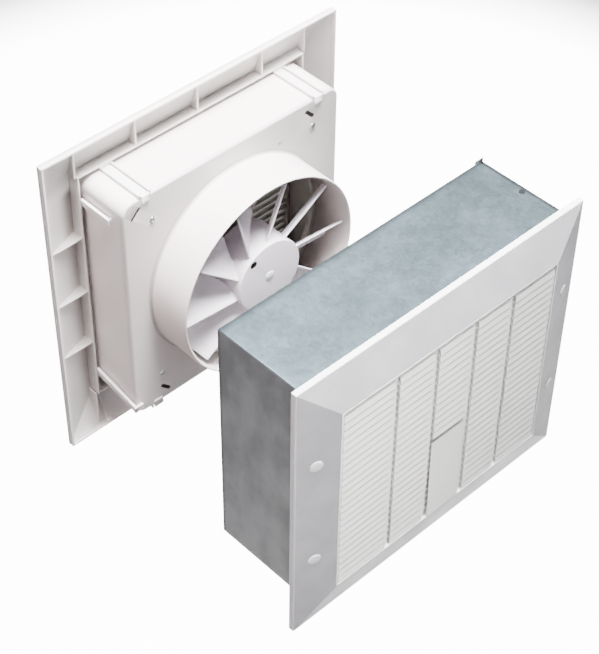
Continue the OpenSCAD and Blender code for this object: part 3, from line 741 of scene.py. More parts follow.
def row_tree() -> CopyTree:
    """Builds a tree that sets copies in a straight row.

    Returns:
        The tree.
    """
    tree = CopyTree("row_of_copies", {"Count": 5, "Start": (0.0, 0.0, 0.0), "Step": (0.0, 0.0, 0.01)})
    places = {"Count": tree.given["Count"], "Start Location": tree.given["Start"], "Offset": tree.given["Step"]}
    return tree.close(tree.node("GeometryNodeMeshLine", places, mode="OFFSET"))


def ring_tree() -> CopyTree:
    """Builds a tree that sets copies round the fan axis.

    Returns:
        The tree.
    """
    tree = CopyTree("ring_of_copies", {"Count": 10, "First turn": 0.0})
    count = tree.given["Count"]
    points = tree.node("GeometryNodePoints", {"Count": count})
    share = tree.node("ShaderNodeMath", {0: tree.node("GeometryNodeInputIndex", {}), 1: count}, operation="DIVIDE")
    turn = tree.node("ShaderNodeMath", {0: share, 1: -math.tau, 2: tree.given["First turn"]},
                     operation="MULTIPLY_ADD")
    return tree.close(points, Rotation=tree.node("ShaderNodeCombineXYZ", {"Y": turn}))


@dataclass
class Workshop:
    """Holds what all assemblies share: the finishes and the copy trees."""

    rows: CopyTree = field(default_factory=row_tree)
    rings: CopyTree = field(default_factory=ring_tree)
    finishes: dict[str, bpy.types.Material] = field(default_factory=dict)

    def finish(self, recipe: Recipe) -> bpy.types.Material:
        """Builds a finish the first time that it is asked for.

        Args:
            recipe: The recipe of the finish.

        Returns:
            Its material.
        """
        if recipe.name not in self.finishes:
            self.finishes[recipe.name] = recipe.build()
        return self.finishes[recipe.name]

    def row(self, seed: bpy.types.Object, recipe: Recipe, count: int, start: float, step: float,
            axis: int = 2) -> bpy.types.Object:
        """Sets copies of a seed in a straight row.

        Args:
            seed: The object that holds one copy.
            recipe: The recipe of its material.
            count: How many copies there are.
            start: The first one's place along the row.
            step: The distance from one to the next.
            axis: The row's axis: 0 for X, 2 for Z.

        Returns:
            The seed object, whose mesh now holds the row.
        """
        places = [tuple(length if i == axis else 0.0 for i in range(3)) for length in (start, step)]
        return self.rows.run(seed, Count=count, Start=places[0], Step=places[1], Material=self.finish(recipe))

    def at_corners(self, seed: bpy.types.Object, recipe: Recipe, half_w: float, half_h: float,
                   middle: float) -> bpy.types.Object:
        """Sets a copy of a seed at each corner of an upright rectangle whose centre is at Z = middle."""
        column = self.row(seed, recipe, 2, middle - half_h, 2 * half_h)
        return self.row(column, recipe, 2, -half_w, 2 * half_w, axis=0)

    def place(self, piece: bpy.types.Object, body: Body, slot: Slot, recipe: Recipe, node: str) -> None:
        """Gives a piece its material and its body, and hides the node that it stands for.

        Args:
            piece: The piece.
            body: The body that it rides on.
            slot: The slot that its finish belongs to. Not used.
            recipe: The recipe of its material.
            node: The node that it replaces.
        """
        self.paint(piece, recipe)
        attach(piece, body.value)
        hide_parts(node)
        LOG.info("%s: %d faces, rides on %s", piece.name, len(piece.data.polygons), body.value)

    def paint(self, piece: bpy.types.Object, recipe: Recipe) -> None:
        """Gives a piece the material of a recipe in place of any other."""
        piece.data.materials.clear()
        piece.data.materials.append(self.finish(recipe))

    def keep(self, recipe: Recipe, *nodes: str) -> None:
        """Gives nodes of the frame, which stay as they are, a better material.

        Args:
            recipe: The recipe of the material.
            nodes: The nodes.
        """
        for node in nodes:
            self.paint(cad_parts[node], recipe)
            LOG.info("%s: kept, with finish %s", node, recipe.name)


@dataclass
class Assembly:
    """Pieces that are built together in one workshop."""

    shop: Workshop


# Limits of the fascia's tray and of the strip beside the plinth's left side, used for painted shade.
TRAY_Y = ("y", 0.3755, 0.3740)
TRAY_SIDE = (("x", -0.149, -0.151), ("y", 0.354, 0.358), TRAY_Y, ("right", -0.25, -0.10))

WHITE = MouldedPlastic("white_shell")
DUCT_WHITE = MouldedPlastic("white_duct", tint=(0.83, 0.775, 0.755), shade=(0.76, 0.69, 0.67), shade_and_dirt=(
    # Painted shade on the lower part of the duct's outside.
    ShadeAndDirt((0.58, 0.49, 0.46), 0.75, (("r", 0.1200, 0.1212), ("z", 0.050, -0.070), ("y", 0.2965, 0.2945))),
    # Dust and painted shade inside the bore; the shade lies on its right-hand side.
    ShadeAndDirt((0.46, 0.385, 0.365), 0.85, (("r", 0.1212, 0.1200), ("y", 0.243, 0.285), ("x", -0.030, 0.060))),
    # Painted shadow in the crease round the duct's foot and at the back end of the bore.
    ShadeAndDirt((0.33, 0.29, 0.28), 0.75, (("r", 0.1262, 0.1240), ("y", 0.2925, 0.2958))),
    # The plinth's back face is painted darker towards the right.
    ShadeAndDirt((0.56, 0.53, 0.54), 0.80, (("y", 0.2950, 0.2965), ("y", 0.3030, 0.2990), ("x", -0.30, 0.10)))))
# Dust and painted shade over the parts inside the plinth: the inlet ring, the motor spider and the terminal box.
DUSTY_AND_SHADED = MouldedPlastic("white_inside", shade_and_dirt=(ShadeAndDirt((0.60, 0.53, 0.47), 0.85, (("y", 0.243, 0.290),)),))
FASCIA_WHITE = MouldedPlastic("white_fascia", tint=(0.83, 0.785, 0.77), shade=(0.76, 0.70, 0.69), shade_and_dirt=(
    # Painted shade in the recessed tray behind the front face.
    ShadeAndDirt((0.48, 0.46, 0.45), 0.60, (("y", 0.356, 0.364), TRAY_Y)),
    # Deeper painted shade in the upper part of the tray, growing towards the left.
    ShadeAndDirt((0.30, 0.29, 0.28), 0.75, (("y", 0.356, 0.364), TRAY_Y, ("z", 0.135, 0.155), ("x", 0.160, 0.040))),
    # Painted shade on the upward-facing faces, rib tops among them, in the tray left of the plinth.
    ShadeAndDirt((0.36, 0.34, 0.33), 0.80,
          (("up", 0.60, 0.90), ("x", -0.150, -0.153), ("z", 0.170, 0.165), ("y", 0.354, 0.357))),
    # Painted shadow: a dark band on the tray beside the plinth's left side.
    ShadeAndDirt((0.20, 0.17, 0.16), 0.90, (("x", -0.182, -0.162), *TRAY_SIDE, ("z", 0.138, 0.126), ("z", 0.070, 0.078))),
    # Painted shade continuing that band lower down.
    ShadeAndDirt((0.34, 0.30, 0.28), 0.80, (("x", -0.178, -0.158), *TRAY_SIDE, ("z", 0.082, 0.074)))))
WHITE_GRILLE = MouldedPlastic("white_grille", tint=(0.80, 0.80, 0.82), shade=(0.76, 0.76, 0.78), shade_and_dirt=(
    # Painted shade on the frame's bevels and all else ahead of its narrow outer edge, which keeps the light tone.
    ShadeAndDirt((0.335, 0.328, 0.348), 0.95, (("y", -0.0066, -0.0076),)),))
CAP_WHITE = MouldedPlastic("white_caps", tint=(0.66, 0.65, 0.67), shade=(0.62, 0.61, 0.63), shade_and_dirt=(
    # Painted shade on the two caps at the right.
    ShadeAndDirt((0.37, 0.36, 0.38), 0.95, (("x", 0.0, 0.10),)),))
IVORY = MouldedPlastic("ivory_slats", tint=(0.95, 0.95, 0.915), shade=(0.93, 0.93, 0.89), roughness=0.42, shade_and_dirt=(
    # Painted shade in a band set back from the face, which shows in the grooves.
    ShadeAndDirt((0.44, 0.43, 0.41), 0.60, (("y", -0.0175, -0.0160), ("y", -0.0120, -0.0135))),
    # Painted shade on faces that turn to the left, except near the panel's left end.
    ShadeAndDirt((0.50, 0.49, 0.47), 0.85, (("right", -0.40, -0.80), ("x", -0.1400, -0.1300))),
    # Painted shade growing from left to right across the panel.
    ShadeAndDirt((0.74, 0.74, 0.72), 0.90, (("x", -0.160, 0.150),))))
ROOM_IVORY = MouldedPlastic("room_slats", tint=(0.86, 0.86, 0.83), shade=(0.80, 0.80, 0.765), roughness=0.42, shade_and_dirt=(
    # Dust and painted shade on everything more than about 1.5 mm behind the room-side face.
    ShadeAndDirt((0.27, 0.25, 0.21), 0.90, (("y", 0.3745, 0.3700),)),))
BLADE = MouldedPlastic("blade_plastic", tint=(0.93, 0.88, 0.945), shade=(0.88, 0.83, 0.895), roughness=0.34, shade_and_dirt=(
    # Painted shade: the inside of the hub cup, seen through the balance hole, is painted near black.
    ShadeAndDirt((0.03, 0.028, 0.027), 0.95, (("r", 0.0430, 0.0425), ("y", 0.24312, 0.24345))),))
ZINC = GalvanisedSheet("zinc_sheet")
STEEL = Metal("zinc_plate", (0.72, 0.73, 0.74), (0.50, 0.48, 0.42))
DARK = Metal("dark_plate", (0.030, 0.032, 0.035), (0.02, 0.02, 0.02), roughness=0.60)
CASTING = Metal("cast_shell", (0.60, 0.61, 0.62), (0.42, 0.42, 0.41), roughness=0.48, lines=(1, 1, 1),
                line_scale=420.0, texture=0.5)
LAMINATION = Metal("stacked_plates", (0.24, 0.24, 0.25), (0.12, 0.11, 0.11), roughness=0.42,
                   lines=(0.02, 6.0, 0.02), line_scale=320.0, texture=0.6)
BRONZE = Metal("bush_bronze", (0.70, 0.50, 0.25), (0.42, 0.28, 0.13), roughness=0.38)
RUBBER = Rubber("black_grommet")


@dataclass
class LouvreInsert(Assembly):
    """A moulded panel of rain-shedding slats in columns, used outdoors and on the room side."""

    name: str
    node: str
    body: Body
    recipe: MouldedPlastic
    inward: int
    columns: Sequence[float]
    patch: float = 0.0
    pitch: float = 10.0 * MM
    slat: float = 2.4 * MM
    depth: float = 9.0 * MM
    tilt: float = 40.0
    drip: float = 5.4 * MM
    lean: float = 0.0
    baffle: float = 0.0
    proud: float = 0.35 * MM
    lip_wall: float = 1.3 * MM
    groove: float = 7.4 * MM
    edge_gap: float = 1.4 * MM
    groove_depth: float = 3.6 * MM
    overlap: float = 0.1 * MM
    web: float = 5.0 * MM
    rim: float = 2.0 * MM
    flange: float = 3.0 * MM
    flange_depth: float = 2.0 * MM
    seat: float = 10.0 * MM
    patch_depth: float = 0.9 * MM
    patch_lean: float = 1.8 * MM
    joint: float = 7.4 * MM
    rim_soft: float = 0.4 * MM
    crease: float = 38.0

    def __post_init__(self) -> None:
        """Takes the panel's place from its node."""
        low, high, middle, half = extent(self.node)
        self.face = low.y if self.inward > 0 else high.y
        self.middle = middle.z
        self.half_w, self.half_h = half.x - self.flange, half.z - self.flange
        self.inner_w, self.inner_h = self.half_w - self.rim, self.half_h - self.rim
        self.rows = int(2 * self.inner_h / self.pitch)
        self.first = self.middle - (self.rows - 1) / 2 * self.pitch
        self.foot = self.middle - self.inner_h
        patched = round((self.foot + self.patch - self.first) / self.pitch) + 1
        self.behind = patched if self.patch else 0

    def at(self, depth: float) -> float:
        """Returns the Y of a depth behind the panel's face."""
        return self.face + self.inward * depth

    def slat_outline(self, start: float, drip: float) -> list[tuple[float, float]]:
        """Returns a slat's outline in Y and height.

        Args:
            start: The depth of its rounded nose.
            drip: Height of the lip that hangs from the nose.

        Returns:
            The points, from the nose down, back along the underside and up the deep end.
        """
        rise = math.tan(math.radians(self.tilt))
        half = self.slat / 2
        foot, wall, tail = start * rise - half, self.lip_wall, self.depth
        nose = start + (self.lean if drip else 0.0)
        outline = [(nose + half * (1 - math.sin(a)), start * rise + half * math.cos(a)) for a in arc(4)]
        outline += [(start, foot - drip), (start + wall, foot - drip), (nose + wall, foot + wall * rise)]
        if self.baffle:
            hanging = tail * rise - half - self.baffle
            outline += [(tail - wall, (tail - wall) * rise - half), (tail - wall, hanging), (tail, hanging)]
        else:
            outline.append((tail, tail * rise - half))
        return [(self.at(place), height) for place, height in (*outline, (tail, tail * rise + half))]

    def slat_seed(self, patched: bool) -> bpy.types.Object:
        """Makes one slat: a full part in each column, a set-back bridge in each groove.

        Args:
            patched: Leaves the full part out of the middle column, where the patch is.

        Returns:
            The slat at the height of the fan axis.
        """
        draft = Draft()
        edges = [-self.inner_w - self.rim / 2, *self.columns, self.inner_w + self.rim / 2]
        half = self.groove / 2
        lead = self.edge_gap + self.rim / 2
        full = self.slat_outline(self.proud, self.drip)
        for i, (left, right) in enumerate(zip(edges, edges[1:])):
            low = left + (lead if i == 0 else half)
            high = right - (lead if i == len(edges) - 2 else half)
            if not (patched and i == len(self.columns) // 2):
                draft.prism(full, low, high, "yzx")
        bridges = [(c - half, c + half) for c in self.columns]
        if patched:
            bridges.append((self.columns[1] + half, self.columns[2] - half))
        bridges += [(edges[0], edges[0] + lead), (edges[-1] - lead, edges[-1])]
        set_back = self.slat_outline(self.groove_depth, 0.0)
        for low, high in bridges:
            draft.prism(set_back, low - self.overlap, high + self.overlap, "yzx")
        return draft.finish(self.name)

    def rim_and_webs(self) -> bpy.types.Object:
        """Makes what holds the slats.

        Returns:
            The rim with its rear flange, the webs behind the grooves and the plain patch.
        """
        outer, inner = (self.half_w, self.half_h), (self.inner_w, self.inner_h)
        wide = (self.half_w + self.flange, self.half_h + self.flange)
        back = self.seat + self.flange_depth
        steps = [(outer, 0.0), (outer, self.seat), (wide, self.seat), (wide, back), (inner, back), (inner, 0.0)]
        draft = Draft().loft([rounded(w, h, self.at(d), lift=self.middle) for (w, h), d in steps], endless=True)
        low, high = sorted((self.at(self.groove_depth), self.at(self.seat)))
        reach = self.inner_h + self.rim / 2
        for column in self.columns:
            draft.block((column - self.web / 2, low, self.middle - reach),
                        (column + self.web / 2, high, self.middle + reach))
        if self.patch:
            half, wall, lean = self.groove / 2, self.patch_depth, self.patch_lean
            top = self.first + self.behind * self.pitch - self.slat / 2 - self.drip - self.joint
            outline = [(self.at(0.0), self.foot), (self.at(lean), top), (self.at(lean + wall), top),
                       (self.at(wall), self.foot)]
            draft.prism(outline, self.columns[1] + half, self.columns[2] - half, "yzx")
        return softened(draft.finish(self.name + "_rim"), self.rim_soft)

    def build(self) -> None:
        """Builds the panel and puts it in place."""
        groups = ((True, 0, self.behind), (False, self.behind, self.rows - self.behind))
        slats = [self.shop.row(self.slat_seed(patched), self.recipe, count, self.first + start * self.pitch,
                               self.pitch) for patched, start, count in groups if count]
        piece = creased(merged(self.name, [self.rim_and_webs(), *slats]), self.crease)
        self.shop.place(piece, self.body, Slot.IVORY, self.recipe, self.node)


@dataclass
class ExteriorGrille(Assembly):
    """The bevelled frame of the exterior grille with its screw caps and screws."""

    edge: float = 7.0 * MM
    border: float = 47.0 * MM
    wall: float = 2.5 * MM
    seat: float = 10.0 * MM
    boss_r: float = 6.3 * MM
    hole_r: float = 2.3 * MM
    boss_foot: float = -0.05 * MM
    cap_radius: float = 8.5 * MM
    dome_radius: float = 7.0 * MM
    cap_rise: float = 1.4 * MM
    cap_stem: float = 2.2 * MM
    cap_crown: float = 0.85
    cap_steps: int = 40
    cap_crease: float = 40.0
    boss_steps: int = 32
    soft: float = 0.9 * MM

    def __post_init__(self) -> None:
        """Takes the frame's place and the places of the screws from their nodes."""
        self.low, _, middle, half = extent("grille_frame")
        self.middle = middle.z
        self.half_w, self.half_h = half.x, half.z
        self.rise = -self.low.y - self.edge
        _, high, middle, half = extent("screw_caps")
        self.cap_x = high.x - self.cap_radius
        self.corners = (self.cap_x, half.z - self.cap_radius, middle.z)
        self.surface = self.slope(self.half_w - self.cap_x)

    def slope(self, inset: float) -> float:
        """Returns the Y of the outer bevel at a distance in from the edge."""
        return -self.edge - self.rise * inset / self.border

    def shell(self) -> bpy.types.Object:
        """Makes the bevelled frame.

        Returns:
            The frame with its window collar.
        """
        window, collar = self.border, self.border - self.wall
        seat = self.low.y + self.seat
        inside = -(self.edge - self.wall)
        steps = [(0.0, 0.0), (0.0, -self.edge), (window, self.low.y), (window, seat), (collar, seat),
                 (collar, inside - self.rise * (collar - self.wall) / self.border),
                 (self.wall, inside), (self.wall, 0.0)]
        section = [(self.half_w - inset, self.half_h - inset, y, self.middle) for inset, y in steps]
        return walled("grille_shell", section, self.soft, 3, 20.0)

    def build(self) -> None:
        """Builds the frame with its bosses and the domed caps, and keeps the screws under them."""
        top, foot = self.surface + self.wall * 0.6, self.boss_foot
        section = [(self.boss_r, top), (self.boss_r, foot), (self.hole_r, foot), (self.hole_r, top)]
        boss = Draft().lathe(section, self.boss_steps).finish("grille_bosses")
        piece = merged("grille_frame_shell", [self.shell(), self.shop.at_corners(boss, WHITE_GRILLE, *self.corners)])
        self.shop.place(shaped(piece, [EVEN]), Body.WALL, Slot.WHITE, WHITE_GRILLE, "grille_frame")
        sunk = self.surface + self.cap_stem
        profile = [(0.0, sunk), (self.dome_radius, sunk),
                   *dome(self.dome_radius, self.surface, self.cap_rise, 9, self.cap_crown)]
        cap = Draft().lathe(profile, self.cap_steps).finish("screw_cap_domes")
        caps = self.shop.at_corners(cap, CAP_WHITE, *self.corners)
        for vert in caps.data.vertices:
            vert.co.y -= (self.cap_x - abs(vert.co.x)) * self.rise / self.border
        self.shop.place(creased(caps, self.cap_crease), Body.WALL, Slot.WHITE, CAP_WHITE, "screw_caps")
        self.shop.keep(STEEL, "grille_screws")


@dataclass
class WallSleeve(Assembly):
    """The folded sheet sleeve with its lap seam, rivets, front flanges and bent tab."""

    sheet: float = 1.0 * MM
    fold: float = 2.2 * MM
    flange: float = 18.0 * MM
    lap: float = 16.0 * MM
    lap_end: float = 0.2 * MM
    tab: float = 12.0 * MM
    tab_rise: float = 4.0 * MM
    sag: float = 0.55 * MM
    waves: float = 11.0
    wave_stretch: float = 1.5
    parts: int = 12
    spacing: float = 12.0 * MM
    soft: float = 0.25 * MM

    def __post_init__(self) -> None:
        """Takes the sleeve's place from its node."""
        low, self.high, _, _ = extent("wall_sleeve")
        self.half_w, self.depth, self.foot = self.high.x, self.high.y, low.z
        self.top = self.high.z - self.tab_rise
        self.middle = (self.top + self.foot) / 2
        self.half_h = (self.top - self.foot) / 2

    def ring(self, y: float, inset: float) -> Ring:
        """Returns a ring of the folded sheet at a depth and an inset from the outer size."""
        corner = self.fold - inset * 0.9
        return rounded(self.half_w - inset, self.half_h - inset, y, corner, self.middle, 4, self.spacing)

    def buckle(self, piece: bpy.types.Object) -> None:
        """Lets the flat panels sag inwards a little, as thin sheet does between its folds.

        Args:
            piece: The sleeve's tube.
        """
        for vert in piece.data.vertices:
            place = vert.co
            along = math.sin(math.pi * min(1.0, max(0.0, place.y / self.depth)))
            near_top = abs(abs(place.z - self.middle) - self.half_h) < 2 * self.sheet
            near_side = abs(abs(place.x) - self.half_w) < 2 * self.sheet
            spot = Vector((place.x, place.y * self.wave_stretch, place.z)) * self.waves
            wave = 0.5 + 0.5 * noise.noise(spot)
            if near_top and not near_side:
                across = math.sin(math.pi * (place.x / self.half_w + 1) / 2)
                place.z -= math.copysign(self.sag * along * across * wave, place.z - self.middle)
            elif near_side and not near_top:
                across = math.sin(math.pi * ((place.z - self.middle) / self.half_h + 1) / 2)
                place.x -= math.copysign(self.sag * along * across * wave, place.x)

    def details(self) -> bpy.types.Object:
        """Makes what is folded or joined to the sleeve's tube.

        Returns:
            The front flanges, the two laps of the seam and the bent tab.
        """
        draft = Draft()
        for side in (-1, 1):
            edges = sorted((side * (self.half_w - self.flange), side * (self.half_w - self.sheet)))
            draft.block((edges[0], 0.0, self.foot + self.sheet), (edges[1], self.sheet, self.top - self.sheet))
        inner, outer = self.half_w - self.lap, self.half_w - 0.8 * self.sheet
        for z in (self.top - 2.05 * self.sheet, self.foot + 1.05 * self.sheet):
            draft.block((inner, 2 * self.sheet, z), (outer, self.depth - self.lap_end, z + self.sheet))
        draft.block((self.half_w - self.tab, self.depth - self.sheet, self.top - 0.5 * self.sheet),
                    (self.half_w, self.depth, self.high.z))
        return softened(draft.finish("sleeve_details"), self.soft)

    def build(self) -> None:
        """Builds the sleeve and keeps its rivets."""
        depths = [self.depth * i / self.parts for i in range(self.parts + 1)]
        rings = [self.ring(y, 0.0) for y in depths] + [self.ring(y, self.sheet) for y in reversed(depths)]
        tube = Draft().loft(rings, endless=True).finish("sleeve_tube")
        self.buckle(tube)
        piece = shaped(merged("folded_sleeve", [tube, self.details()]), [EVEN])
        self.shop.place(piece, Body.WALL, Slot.ZINC, ZINC, "wall_sleeve")
        self.shop.keep(DARK, "seam_rivets")


@dataclass
class FanPlinth(Assembly):
    """The rounded box with the duct spigot on its closed back."""

    wall: float = 2.5 * MM
    corner: float = 14.0 * MM
    edge: float = 2.6 * MM
    spacing: float = 8.0 * MM
    duct_r: float = 122.0 * MM
    duct_wall: float = 3.0 * MM
    duct_reach: float = 56.0 * MM
    fillet: float = 2.0 * MM
    seam_in: float = 5.6 * MM
    seam_w: float = 1.2 * MM
    seam_depth: float = 0.6 * MM
    slot_l: float = 18.0 * MM
    slot_w: float = 4.5 * MM
    slot_near: float = 17.0 * MM
    slot_far: float = 42.0 * MM
    slot_turn: float = 45.0
    cable_r: float = 5.95 * MM
    cable_steps: int = 32
    head_r: float = 3.8 * MM
    shank_r: float = 2.0 * MM
    head_rim: float = 0.45
    recess_arm: float = 2.1 * MM
    recess_slit: float = 0.45 * MM
    recess_foot: float = 0.35
    screw_gap: float = 0.02 * MM
    screw_steps: int = 24
    screw_crease: float = 35.0

    def __post_init__(self) -> None:
        """Takes the plinth's place from its node."""
        low, high, middle, _ = extent("plinth")
        self.half, self.lift = high.x, middle.z
        self.rim_y, self.front_y = low.y, high.y
        self.back_y = self.rim_y + self.duct_reach
        self.inside_y = self.back_y + self.wall

    def square(self, inset: float, y: float) -> Ring:
        """Returns the plinth's rounded outline, drawn in by an inset."""
        half = self.half - inset
        return rounded(half, half, y, self.corner - inset, self.lift, 8, self.spacing)

    def round(self, radius: float, y: float) -> Ring:
        """Returns a circle with one point on the ray to each point of the outline."""
        angles = [math.atan2(p.z, p.x) for p in self.square(0.0, y)]
        return [Vector((radius * math.cos(a), y, radius * math.sin(a))) for a in angles]

    def loops(self) -> list[Ring]:
        """Works out the moulding's section.

        Returns:
            Its rings, from the front edge over the duct and back inside.
        """
        lip, back, reach, fillet = self.duct_wall / 2, self.back_y, self.duct_reach, self.fillet
        seam, half, bore = back + self.seam_in, self.seam_w / 2, self.duct_r - self.duct_wall
        folds = [(1 - math.cos(a), 1 - math.sin(a)) for a in arc(4)]
        squares = [(self.wall, self.front_y), (0.0, self.front_y), (0.0, seam + half),
                   (self.seam_depth, seam + half * 0.6), (self.seam_depth, seam - half * 0.6), (0.0, seam - half)]
        squares += [(self.edge * u, back + self.edge * v) for u, v in folds]
        rounds = [(self.duct_r + fillet * v, back - fillet * u) for u, v in folds]
        rounds += [(self.duct_r, back - reach * share) for share in (0.4, 0.7)]
        rounds += [(self.duct_r - lip * u, self.rim_y + lip * v) for u, v in folds]
        rounds += [(bore, self.rim_y + lip), (bore, back - 0.5 * reach), (bore, self.inside_y)]
        return [*(self.square(*step) for step in squares), *(self.round(*step) for step in rounds),
                self.square(self.wall, self.inside_y)]

    def cutter(self) -> bpy.types.Object:
        """Makes what is cut out of the plinth's back.

        Returns:
            The solids of the four slots and of the cable hole.
        """
        draft = Draft()
        ends = (self.back_y - self.wall, self.inside_y + self.wall)
        outline = rounded(self.slot_l / 2, self.slot_w / 2, 0.0, self.slot_w / 2 - 0.05 * MM, 0.0, 6)
        for sx, sz in ((-1, -1), (-1, 1), (1, -1), (1, 1)):
            inset = self.slot_far if sx * sz > 0 else self.slot_near
            centre = Vector((sx * (self.half - inset), 0, self.lift + sz * (self.half - self.slot_near)))
            spin = Matrix.Rotation(math.radians(self.slot_turn * sx * sz), 4, "Y")
            draft.loft([[centre + spin @ p + Vector((0, y, 0)) for p in outline] for y in ends])
        middle = extent("cable_grommet")[2]
        hole = Vector((middle.x, 0, middle.z))
        draft.loft([circle(self.cable_r, y, self.cable_steps, hole) for y in ends])
        return draft.finish("plinth_cutter")

    def build(self) -> None:
        """Builds the plinth and dresses what is fixed to its back."""
        piece = cut(Draft().loft(self.loops(), endless=True).finish("plinth_moulding"), self.cutter())
        self.shop.place(shaped(piece, [EVEN]), Body.FAN, Slot.WHITE, DUCT_WHITE, "plinth")
        self.shop.keep(DUSTY_AND_SHADED, "inlet_ring", "motor_spider", "terminal_box", "terminal_cover")
        self.shop.keep(RUBBER, "cable_grommet")
        self.shop.keep(STEEL, "inlet_ring_screws")
        self.build_screws()

    def build_screws(self) -> None:
        """Builds the cross-head screws that hold the motor spider."""
        low, high, middle, half = extent("spider_screws")
        height = self.back_y - low.y
        seat = self.back_y + self.screw_gap
        crown = dome(self.head_r, seat - height * self.head_rim, height * (1 - self.head_rim), 5)
        profile = [(0.0, high.y), (self.shank_r, high.y - MM), (self.shank_r, seat), (self.head_r, seat), *crown]
        screw = Draft().lathe(profile, self.screw_steps).finish("spider_screw_heads")
        arm, slit = self.recess_arm, self.recess_slit
        outline = []
        for turn in range(4):
            quarter = [(arm, -slit), (arm, slit), (slit, slit)]
            for _ in range(turn):
                quarter = [(-v, u) for u, v in quarter]
            outline += quarter
        recess = Draft().prism(outline, seat - 2 * height, seat - self.recess_foot * height, "xzy")
        cut(screw, recess.finish("recess"))
        screws = self.shop.at_corners(screw, STEEL, half.x - self.head_r, half.z - self.head_r, middle.z)
        self.shop.place(creased(screws, self.screw_crease), Body.FAN, Slot.STEEL, STEEL, "spider_screws")


@dataclass
class RoomFascia(Assembly):
    """The bevelled square fascia with its collar, its ribs and the intake opening."""

    edge: float = 8.0 * MM
    border: float = 42.0 * MM
    wall: float = 2.5 * MM
    intake_in: float = 9.0 * MM
    seat: float = 10.0 * MM
    collar_gap: float = 5.0 * MM
    collar_wall: float = 2.0 * MM
    rib: float = 2.0 * MM
    rib_in: float = 1.0 * MM
    rib_bury: float = 0.5 * MM
    rib_soft: float = 0.4 * MM
    rib_x: Sequence[float] = (-160.0 * MM, -80.0 * MM, 5.0 * MM, 97.0 * MM, 160.0 * MM)
    pitch_z: float = 76.0 * MM
    soft: float = 1.1 * MM
    line_in: float = 2.6 * MM
    line_w: float = 1.5 * MM
    line_depth: float = 0.7 * MM

    def __post_init__(self) -> None:
        """Takes the fascia's place from its node and the plinth's."""
        low, high, middle, _ = extent("fascia")
        self.half, self.tray = high.x, middle.z
        self.back_y, self.front_y = low.y, high.y
        self.rise = self.front_y - self.back_y - self.edge
        _, plinth, middle, _ = extent("plinth")
        self.lift = middle.z
        self.intake = plinth.x - self.intake_in
        self.collar = plinth.x + self.collar_gap + self.collar_wall
        self.collar_y = self.back_y + self.edge / 2

    def shell(self) -> bpy.types.Object:
        """Makes the bevelled tray.

        Returns:
            The tray with its line groove and the seat of the intake panel.
        """
        half, back, tray, lift = self.half, self.back_y, self.tray, self.lift
        inside, edge_y = half - self.wall, back + self.edge
        flat, block = half - self.border, self.intake + self.wall
        deep, skin = self.front_y - self.seat, self.front_y - self.wall
        line, start, run = half - self.line_depth, back + self.line_in, self.line_depth / 2
        steps = [(half, back, tray), (half, start, tray), (line, start + run, tray),
                 (line, start + self.line_w - run, tray), (half, start + self.line_w, tray),
                 (half, edge_y, tray), (flat, self.front_y, tray), (self.intake, self.front_y, lift),
                 (self.intake, deep, lift), (block, deep, lift), (block, skin, lift), (flat - self.wall, skin, tray),
                 (inside, edge_y - self.wall, tray), (inside, back, tray)]
        return walled("fascia_shell", [(reach, reach, y, z) for reach, y, z in steps], self.soft, 3, 12.0)

    def collar_loop(self) -> bpy.types.Object:
        """Makes the collar round the plinth.

        Returns:
            The collar.
        """
        inner, root = self.collar - self.collar_wall, self.front_y - self.wall / 2
        steps = [(self.collar, self.collar_y), (self.collar, root), (inner, root), (inner, self.collar_y)]
        return walled("fascia_collar", [(half, half, y, self.lift) for half, y in steps], 0.5 * MM)

    def rib_outline(self, root: float) -> list[tuple[float, float]]:
        """Works out a rib's outline.

        Args:
            root: How far from the middle it starts, inside the collar.

        Returns:
            Pairs of distance from the middle and Y, from the collar to the rim.
        """
        foot = self.collar_y + self.rib_in
        tip = self.half - self.wall / 2
        flat = self.half - self.border
        bury = self.wall / 2

        def bevel(place: float) -> float:
            """Returns the Y of the middle of the bevel's wall at a distance from the middle."""
            return self.back_y + self.edge + (self.half - place) / self.border * self.rise - bury

        outline = [(root, foot), (tip, foot), (tip, bevel(tip))]
        if root < flat:
            return [*outline, (flat, self.front_y - bury), (root, self.front_y - bury)]
        return [*outline, (root, bevel(root))]

    def ribs(self) -> list[bpy.types.Object]:
        """Makes the ribs between the collar and the rim.

        Returns:
            The four rows of ribs.
        """
        made = []
        half, root = self.rib / 2, self.collar - self.rib_bury
        for side in (-1, 1):
            upright = self.rib_outline(root + side * (self.lift - self.tray))
            draft = Draft()
            for x in self.rib_x:
                draft.prism([(self.tray + side * u, y) for u, y in upright], x - half, x + half, "zyx")
            sideways = [(side * u, y) for u, y in self.rib_outline(root)]
            seed = Draft().prism(sideways, -half, half, "xyz").finish("ribs")
            row = self.shop.row(seed, FASCIA_WHITE, 3, self.lift - self.pitch_z, self.pitch_z)
            made += [draft.finish("ribs"), row]
        return made

    def build(self) -> None:
        """Builds the fascia."""
        ribs = softened(merged("fascia_ribs", self.ribs()), self.rib_soft)
        piece = merged("fascia_moulding", [self.shell(), self.collar_loop(), ribs])
        self.shop.place(shaped(piece, [EVEN]), Body.FAN, Slot.WHITE, FASCIA_WHITE, "fascia")


